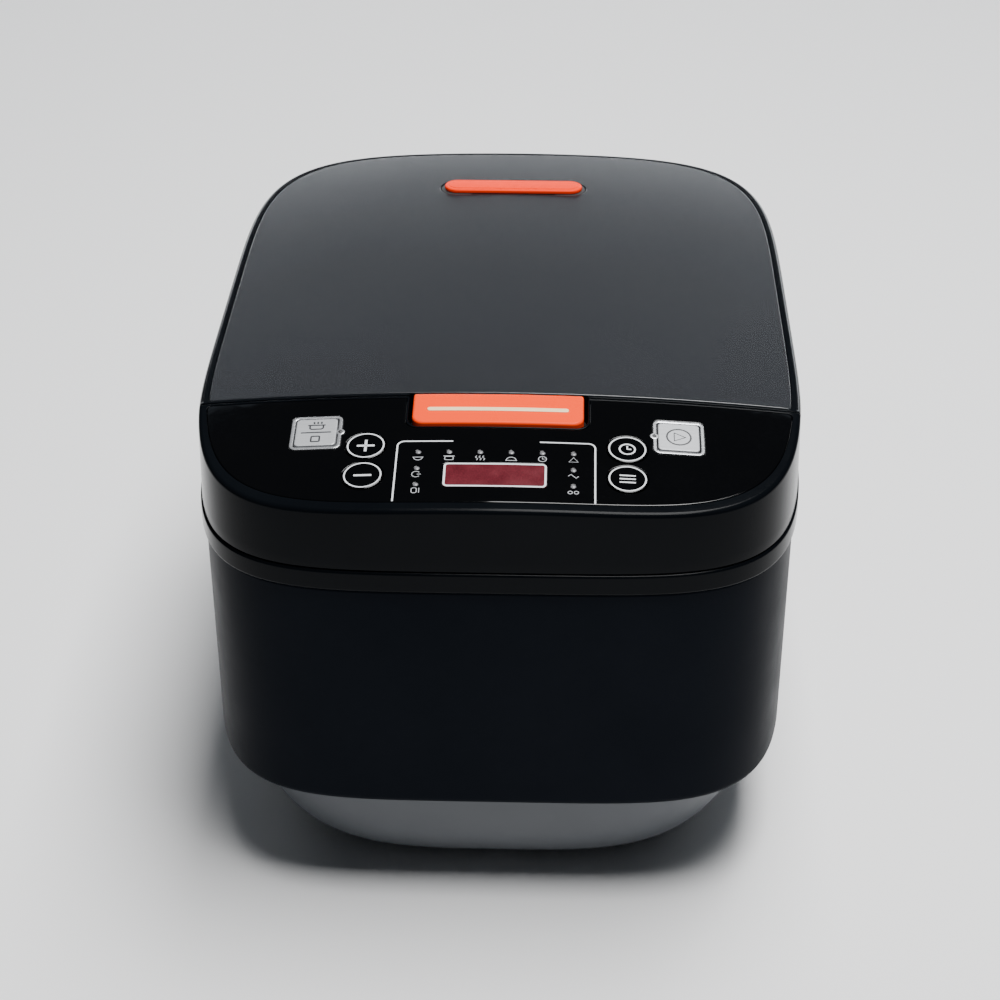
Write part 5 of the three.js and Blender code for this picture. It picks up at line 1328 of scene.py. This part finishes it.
def rod_mesh(name, radius, x0, x1, y, z, *args, bore=0.0, sides=48, **more):
    """A rod or a tube across the cooker with bevelled ends."""
    skin = Skin()
    profile = [(x0, radius - 0.3), (x0 + 0.3, radius), (x1 - 0.3, radius), (x1, radius - 0.3)]
    if bore:
        profile += [(x1, bore + 0.2), (x1 - 0.2, bore), (x0 + 0.2, bore), (x0, bore + 0.2)]
    rows = skin.rows([[(x, py, pz) for py, pz in circle_loop(r, (y, z), sides)] for x, r in profile])
    if bore:
        skin.bridge(rows[-1], rows[0])
    else:
        skin.cap(rows[0], (x0, y, z))
        skin.cap(rows[-1], (x1, y, z))
    return from_skin(name, skin, *args, **more)


knuckle_end = node_box("hinge_lug_right")[0][0] - 0.5
rod_radius = (shaft_high[2] - shaft_low[2]) / 2
for name, start, end in (("right", spring_high[0] + 1.7, knuckle_end), ("left", -knuckle_end, spring_low[0] - 1.7)):
    rod_mesh("lid_knuckle_" + name, KNUCKLE_RADIUS - 0.02, start, end, HINGE_Y, HINGE_Z, "lid", gloss_black, "gloss",
             bore=rod_radius + 0.2)
rod_mesh("hinge_rod", rod_radius, shaft_low[0], shaft_high[0], HINGE_Y, HINGE_Z, "body",
         steel, "steel", ["hinge_shaft"])


def coil_points(radius, low, high, turns, place, steps=36):
    """The middle line of a coil."""
    count = int(turns * steps)
    angles = [TAU * turns * i / count for i in range(count + 1)]
    return [place(radius * math.cos(a), radius * math.sin(a), low + (high - low) * i / count)
            for i, a in enumerate(angles)]


wire("hinge_coil", coil_points(2.35, spring_low[0] + 0.5, spring_high[0] - 0.5, 9,
                               lambda a, b, c: (c, HINGE_Y + a, HINGE_Z + b)), 0.4, "body", steel, "steel",
     replaces=["hinge_spring"])

# ------------------------------------------------------------------ steam vent

vent_face = tray_high[2]
strip_top = node_box("vent_trim")[1][2]
vent_slots = [fine(rounded_loop(44.0, 1.0, 0.45, (0, VENT_Y + side * 7.35)), 4.0) for side in (-1, 1)]


def level(height):
    """Lifts a plane loop to one height."""
    return lambda x, y, w: (x, y, height + w)


pad("vent_tray", capsule(76.0, 18.0, 3.0), vent_slots, level(vent_face), vent_face - tray_low[2], "vent_cap",
    inner_black, "part", ["steam_vent_cap"], edge=0.7, hole_edge=0.15)
pad("vent_strip", capsule(72.0, 13.6, 3.0), [], level(strip_top - 0.25), 1.7, "vent_cap", strip_orange, "orange",
    ["vent_trim"], edge=0.9)
pad("vent_strip_face", capsule(67.6, 9.2, 3.0), [], level(strip_top), 0.6, "vent_cap", strip_orange, "orange",
    edge=0.3)

# ------------------------------------------------------------------ under the lid

cover_radius = half_depth_of("inner_lid_plate")
cz = node_box("lid_inner_frame")[0][2] - 0.3
cover_profile = [(0.0, cz - 3.4)] + [(cover_radius - inset, cz - drop) for inset, drop in (
    (12.5, 3.4), (11.0, 3.2), (9.0, 2.5), (7.0, 1.8), (5.4, 1.6), (0.5, 1.6), (0.0, 1.3), (0.0, 0.9), (0.4, 0.6),
    (5.8, 0.6), (8.0, 1.0), (11.5, 2.3))] + [(0.0, cz - 2.4)]


def inner_cover():
    """Pressed aluminium disc with five steam holes below the valve."""
    skin = Skin()
    holes = [circle_loop(2.0, (dx, VENT_Y - 12 + dy), 20) for dx, dy in
             ((-9, 0), (0, 0), (9, 0), (-4.5, -8), (4.5, -8))]
    rings = []
    for r, z in cover_profile[1:-1]:
        loop = circle_loop(r, (0, POT_Y), 144)
        rings.append((skin.row([(x, y, z) for x, y in loop]), loop))
    for (low, _), (high, _) in zip(rings, rings[1:]):
        skin.bridge(low, high)
    faces = []
    for ring, (_, z) in ((rings[0], cover_profile[0]), (rings[-1], cover_profile[-1])):
        faces.append([(skin.row([(x, y, z) for x, y in hole]), hole) for hole in holes])
        skin.fill(ring, faces[-1], lambda x, y, z=z: (x, y, z), 12.0)
    for (low, _), (high, _) in zip(*faces):
        skin.bridge(low, high)
    from_skin("inner_cover", skin, "lid", plate_aluminium, "aluminium", ["inner_lid_plate"])


inner_cover()
gasket_in = cover_radius + 0.3
gasket_out = half_depth_of("lid_gasket")
gz = gasket_low[2]
gasket_top = gasket_high[2]
gasket_profile = (
    [(gasket_in + out, gz + up) for out, up in
     ((0, 0.7), (0.3, 0.2), (1.1, 0), (2.0, 0.15), (2.6, 0.75), (3.4, 0.95))]
    + [(gasket_out - inset, gz + up) for inset, up in ((1.9, 0.75), (1.2, 0.2), (0.6, 0.35), (0, 1.0))]
    + [(gasket_out, gasket_top - 0.2), (gasket_out - 0.3, gasket_top), (gasket_in + 0.2, gasket_top),
       (gasket_in, gasket_top - 0.2)]
)
turned("gasket_ring", gasket_profile, (0, POT_Y), "lid", gasket_silicone, "silicone", ["lid_gasket"], sides=144)

# ------------------------------------------------------------------ pot, liner and heater

pot_rim = half_depth_of("inner_pot")
POT_RIM_WIDTH = 8.0
pot_radius = pot_rim - POT_RIM_WIDTH
POT_WALL = 1.5
POT_CORNER = 18.0
pot_floor, pot_top = pot_low[2], pot_high[2]
pot_inner = pot_radius - POT_WALL
pot_profile = (
    [(0.0, pot_floor + 0.4), (40.0, pot_floor + 0.05), (pot_radius - POT_CORNER - 6, pot_floor)]
    + arc_line(POT_CORNER, (pot_radius - POT_CORNER, pot_floor + POT_CORNER), 270, 360, 12)
    + [(pot_radius, pot_top - 6.0), (pot_radius + 0.15, pot_top - 2.4)]
    + arc_line(0.9, (pot_radius + 1.1, pot_top - 2.4), 180, 90, 5)
    + [(pot_rim - 1.6, pot_top - 1.5), (pot_rim - 0.4, pot_top - 1.45)]
    + arc_line(0.7, (pot_rim - 0.7, pot_top - 0.75), -90, 90, 8)
    + [(pot_radius + 3.0, pot_top - 0.1)]
    + arc_line(2.6, (pot_radius + 1.1, pot_top - 2.65), 90, 180, 7)
    + [(pot_inner, pot_top - 6.0)]
    + [(pot_inner, pot_floor + 60), (pot_inner, pot_floor + POT_CORNER + 1)]
    + arc_line(POT_CORNER - POT_WALL, (pot_inner - POT_CORNER + POT_WALL, pot_floor + POT_CORNER), 360, 270, 12)
    + [(60.0, pot_floor + 1.8), (0.0, pot_floor + 2.4)]
)
turned("cooking_pot", pot_profile, (0, POT_Y), "pot", pot_coating, "coating", ["inner_pot"], sides=160, ring=False)


def on_pot_wall(u, v, w):
    angle = math.radians(62) + u / pot_inner
    r = pot_inner - w - 0.02
    return (r * math.cos(angle), POT_Y + r * math.sin(angle), pot_floor + v)


levels = [(7 if k % 2 else 11, 24 + 9 * k) for k in range(10)]
levels = [run([(-half, v), (half, v)]) for half, v in levels] + [run([(0, 22), (0, 107)])]
printed("pot_level_marks", levels, 0.7, ink_grey, "pot", "coating", rise=0.03, lift=on_pot_wall)

liner_rim = half_depth_of("inner_liner")
liner_outer = liner_rim - 7.0
liner_in = liner_outer - 1.0
plate_low, plate_high = node_box("heating_plate")
plate_radius = half_depth_of("heating_plate")
liner_floor, liner_top = liner_low[2], liner_high[2]
liner_profile = (
    [(plate_radius + 2, liner_floor), (liner_outer - 8, liner_floor)]
    + arc_line(8, (liner_outer - 8, liner_floor + 8), 270, 360, 8)
    + [(liner_outer, liner_top - 1.0), (liner_rim - 0.3, liner_top - 1.0), (liner_rim, liner_top - 0.7),
       (liner_rim, liner_top - 0.2), (liner_rim - 0.3, liner_top), (liner_in + 0.6, liner_top),
       (liner_in, liner_top - 0.6), (liner_in, liner_floor + 8.5)]
    + arc_line(7, (liner_outer - 8, liner_floor + 8), 360, 270, 8)[1:]
    + [(plate_radius + 2, liner_floor + 1.0)]
)
turned("heat_liner", liner_profile, (0, POT_Y), "body", liner_aluminium, "aluminium", ["inner_liner"], sides=160)

cup_low, cup_high = node_box("sensor_cup")
cup_radius = half_depth_of("sensor_cup")
bore = cup_radius + 2.0
plate_foot, plate_top = plate_low[2], plate_high[2]
plate_profile = (
    [(bore, plate_foot + 3.0), (plate_radius - 6, plate_foot), (plate_radius - 0.6, plate_foot + 4.4),
     (plate_radius, plate_foot + 5.6), (plate_radius, plate_top - 1.6)]
    + arc_line(1.4, (plate_radius - 1.4, plate_top - 1.4), 0, 90, 5)
    + [(plate_radius - inset, plate_top - drop) for inset, drop in ((14, 0.02), (15, 0.5), (17, 0.5), (18, 0.02))]
    + [(bore + 1.0, plate_top), (bore, plate_top - 0.9)]
)
turned("heat_plate", plate_profile, (0, POT_Y), "body", plate_aluminium, "aluminium", ["heating_plate"], sides=160)
cup_step = plate_high[2] - 9
turned("sensor_button", [
    (0.0, cup_low[2]), (4.7, cup_low[2]), (5.0, cup_low[2] + 0.3), (5.0, cup_step), (cup_radius - 0.6, cup_step),
    (cup_radius, cup_step + 0.6), (cup_radius, cup_high[2] - 1.1), (cup_radius - 0.3, cup_high[2] - 0.35),
    (cup_radius - 1.0, cup_high[2]), (cup_radius - 4.5, cup_high[2]), (cup_radius - 5.0, cup_high[2] - 0.4),
    (0.0, cup_high[2] - 0.4)], (0, POT_Y), "sensor", plate_aluminium, "aluminium", ["sensor_cup"], sides=72,
       ring=False)

# ------------------------------------------------------------------ deck under the lid

deck_z = TOP_Z - 4.0
DECK_THICKNESS = 3.5
EAR_X = 9.0
deck_cutouts = [circle_loop(liner_outer + 0.6, (0, POT_Y), 120),
                rounded_loop(30, 12, 2.0, (0, CONSOLE_BACK_Y - 43.6))]
pad("deck_sheet", body_loop(4.3, CORNER_POWER, 300), deck_cutouts, level(deck_z), DECK_THICKNESS, "body",
    inner_black, "part", ["deck_plate"], edge=0.5, hole_edge=0.5)
_, pin_y, pin_z = middle("latch_pin")
ear = [(-5, -0.6), (4.6, -0.6), (4.6, 9.0), (2.6, 13.2), (1.2, 14.0), (-1.2, 14.0), (-3.0, 13.2), (-5, 9.0)]
ear = [(pin_y + a, deck_z + b) for a, b in ear]
pin_bore = circle_loop(1.6, (pin_y, pin_z), 28)
for side, name in ((-1, "left"), (1, "right")):
    pad("latch_ear_" + name, ear, [pin_bore], lambda a, b, w, s=side: (s * EAR_X + s * (3.0 + w), a, b), 3.0,
        "body", inner_black, "part", edge=0.4, hole_edge=0.2)
collar = [(liner_rim + out, deck_z + up) for out, up in
          ((1.0, -0.1), (1.2, 1.2), (1.8, 1.5), (2.8, 1.5), (3.4, 1.2), (3.6, -0.1))]
turned("deck_collar", collar, (0, POT_Y), "body", inner_black, "part", sides=144)
for name, node_name, joint, travel, room, radius, turns, thickness in (
        ("latch_coil", "latch_spring", "release_press", 3.5, 1.3, 2.6, 5, 0.4),
        ("sensor_coil", "sensor_spring", "sensor_travel", 3.0, 0.2, 7.2, 4, 0.5)):
    coil_low, coil_high = node_box(node_name)
    coil_y = middle(node_name)[1]
    foot, head = coil_low[2] + thickness, coil_high[2] - thickness - 0.1
    coil = wire(name, coil_points(radius, foot, head, turns, lambda a, b, c, y=coil_y: (a, y + b, c)), thickness,
                "body", steel, "steel", replaces=[node_name])
    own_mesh(coil)


# ------------------------------------------------------------------ floor, light and view


def floor_finish():
    material, tree, shader, place = blank("pale_floor")
    clouds = noise(tree, place, 1.2, 3.0)
    tone = blend(tree, spread(tree, clouds, 0, 1), (0.91, 0.91, 0.915), (0.93, 0.93, 0.935))
    feed(tree, shader, Base_Color=tone, Roughness=0.6, Specular_IOR_Level=0.2)
    return material


floor_mesh = bpy.data.meshes.new("studio_floor")
floor_mesh.from_pydata([(-30, -30, 0), (30, -30, 0), (30, 30, 0), (-30, 30, 0)], [], [(0, 1, 2, 3)])
floor_mesh.materials.append(floor_finish())
placed("studio_floor", floor_mesh)


def soft_light(name, place, aim, width, height, power, colour=(1, 1, 1)):
    lamp = bpy.data.lights.new(name, "AREA")
    lamp.shape = "RECTANGLE"
    lamp.size, lamp.size_y = width, height
    lamp.energy = power
    lamp.color = colour
    made = placed(name, lamp)
    made.location = place
    made.rotation_euler = (Vector(aim) - Vector(place)).to_track_quat("-Z", "Y").to_euler()


soft_light("top_softbox", (0.30, 0.00, 1.95), (0, 0, 0.1), 1.7, 0.75, 86)
soft_light("rear_softbox", (0.15, 2.6, 0.50), (0, 0, 0.2), 3.4, 0.52, 36, (0.92, 0.96, 1.0))
soft_light("rear_left_softbox", (-1.20, 2.6, 2.85), (-0.1, -0.13, 0.2), 0.62, 0.42, 0.26, (0.72, 0.84, 1.0))
soft_light("rear_right_softbox", (0.95, 2.6, 2.85), (0.1, -0.13, 0.2), 0.62, 0.42, 0.19, (0.72, 0.84, 1.0))

world = bpy.data.worlds.new("studio")
world.use_nodes = True
background = world.node_tree.nodes["Background"]
background.inputs["Color"].default_value = (0.82, 0.9, 1.0, 1)
background.inputs["Strength"].default_value = 0.035
bpy.context.scene.world = world

VIEW_BACK = Vector((0.02658, -0.86024, 0.50919))
VIEW_ROLL = math.radians(-0.07)
lens = bpy.data.cameras.new("studio_camera")
lens.lens, lens.sensor_width, lens.clip_end = 84.56, 36.0, 100
lens.shift_x, lens.shift_y = -0.0063, -0.0111
camera = placed("studio_camera", lens)
camera.location = (0.03136, -1.0149, 0.71575)
camera.rotation_euler = (-VIEW_BACK).to_track_quat("-Z", "Y").to_euler()
camera.rotation_euler.rotate_axis("Z", VIEW_ROLL)
bpy.context.scene.camera = camera
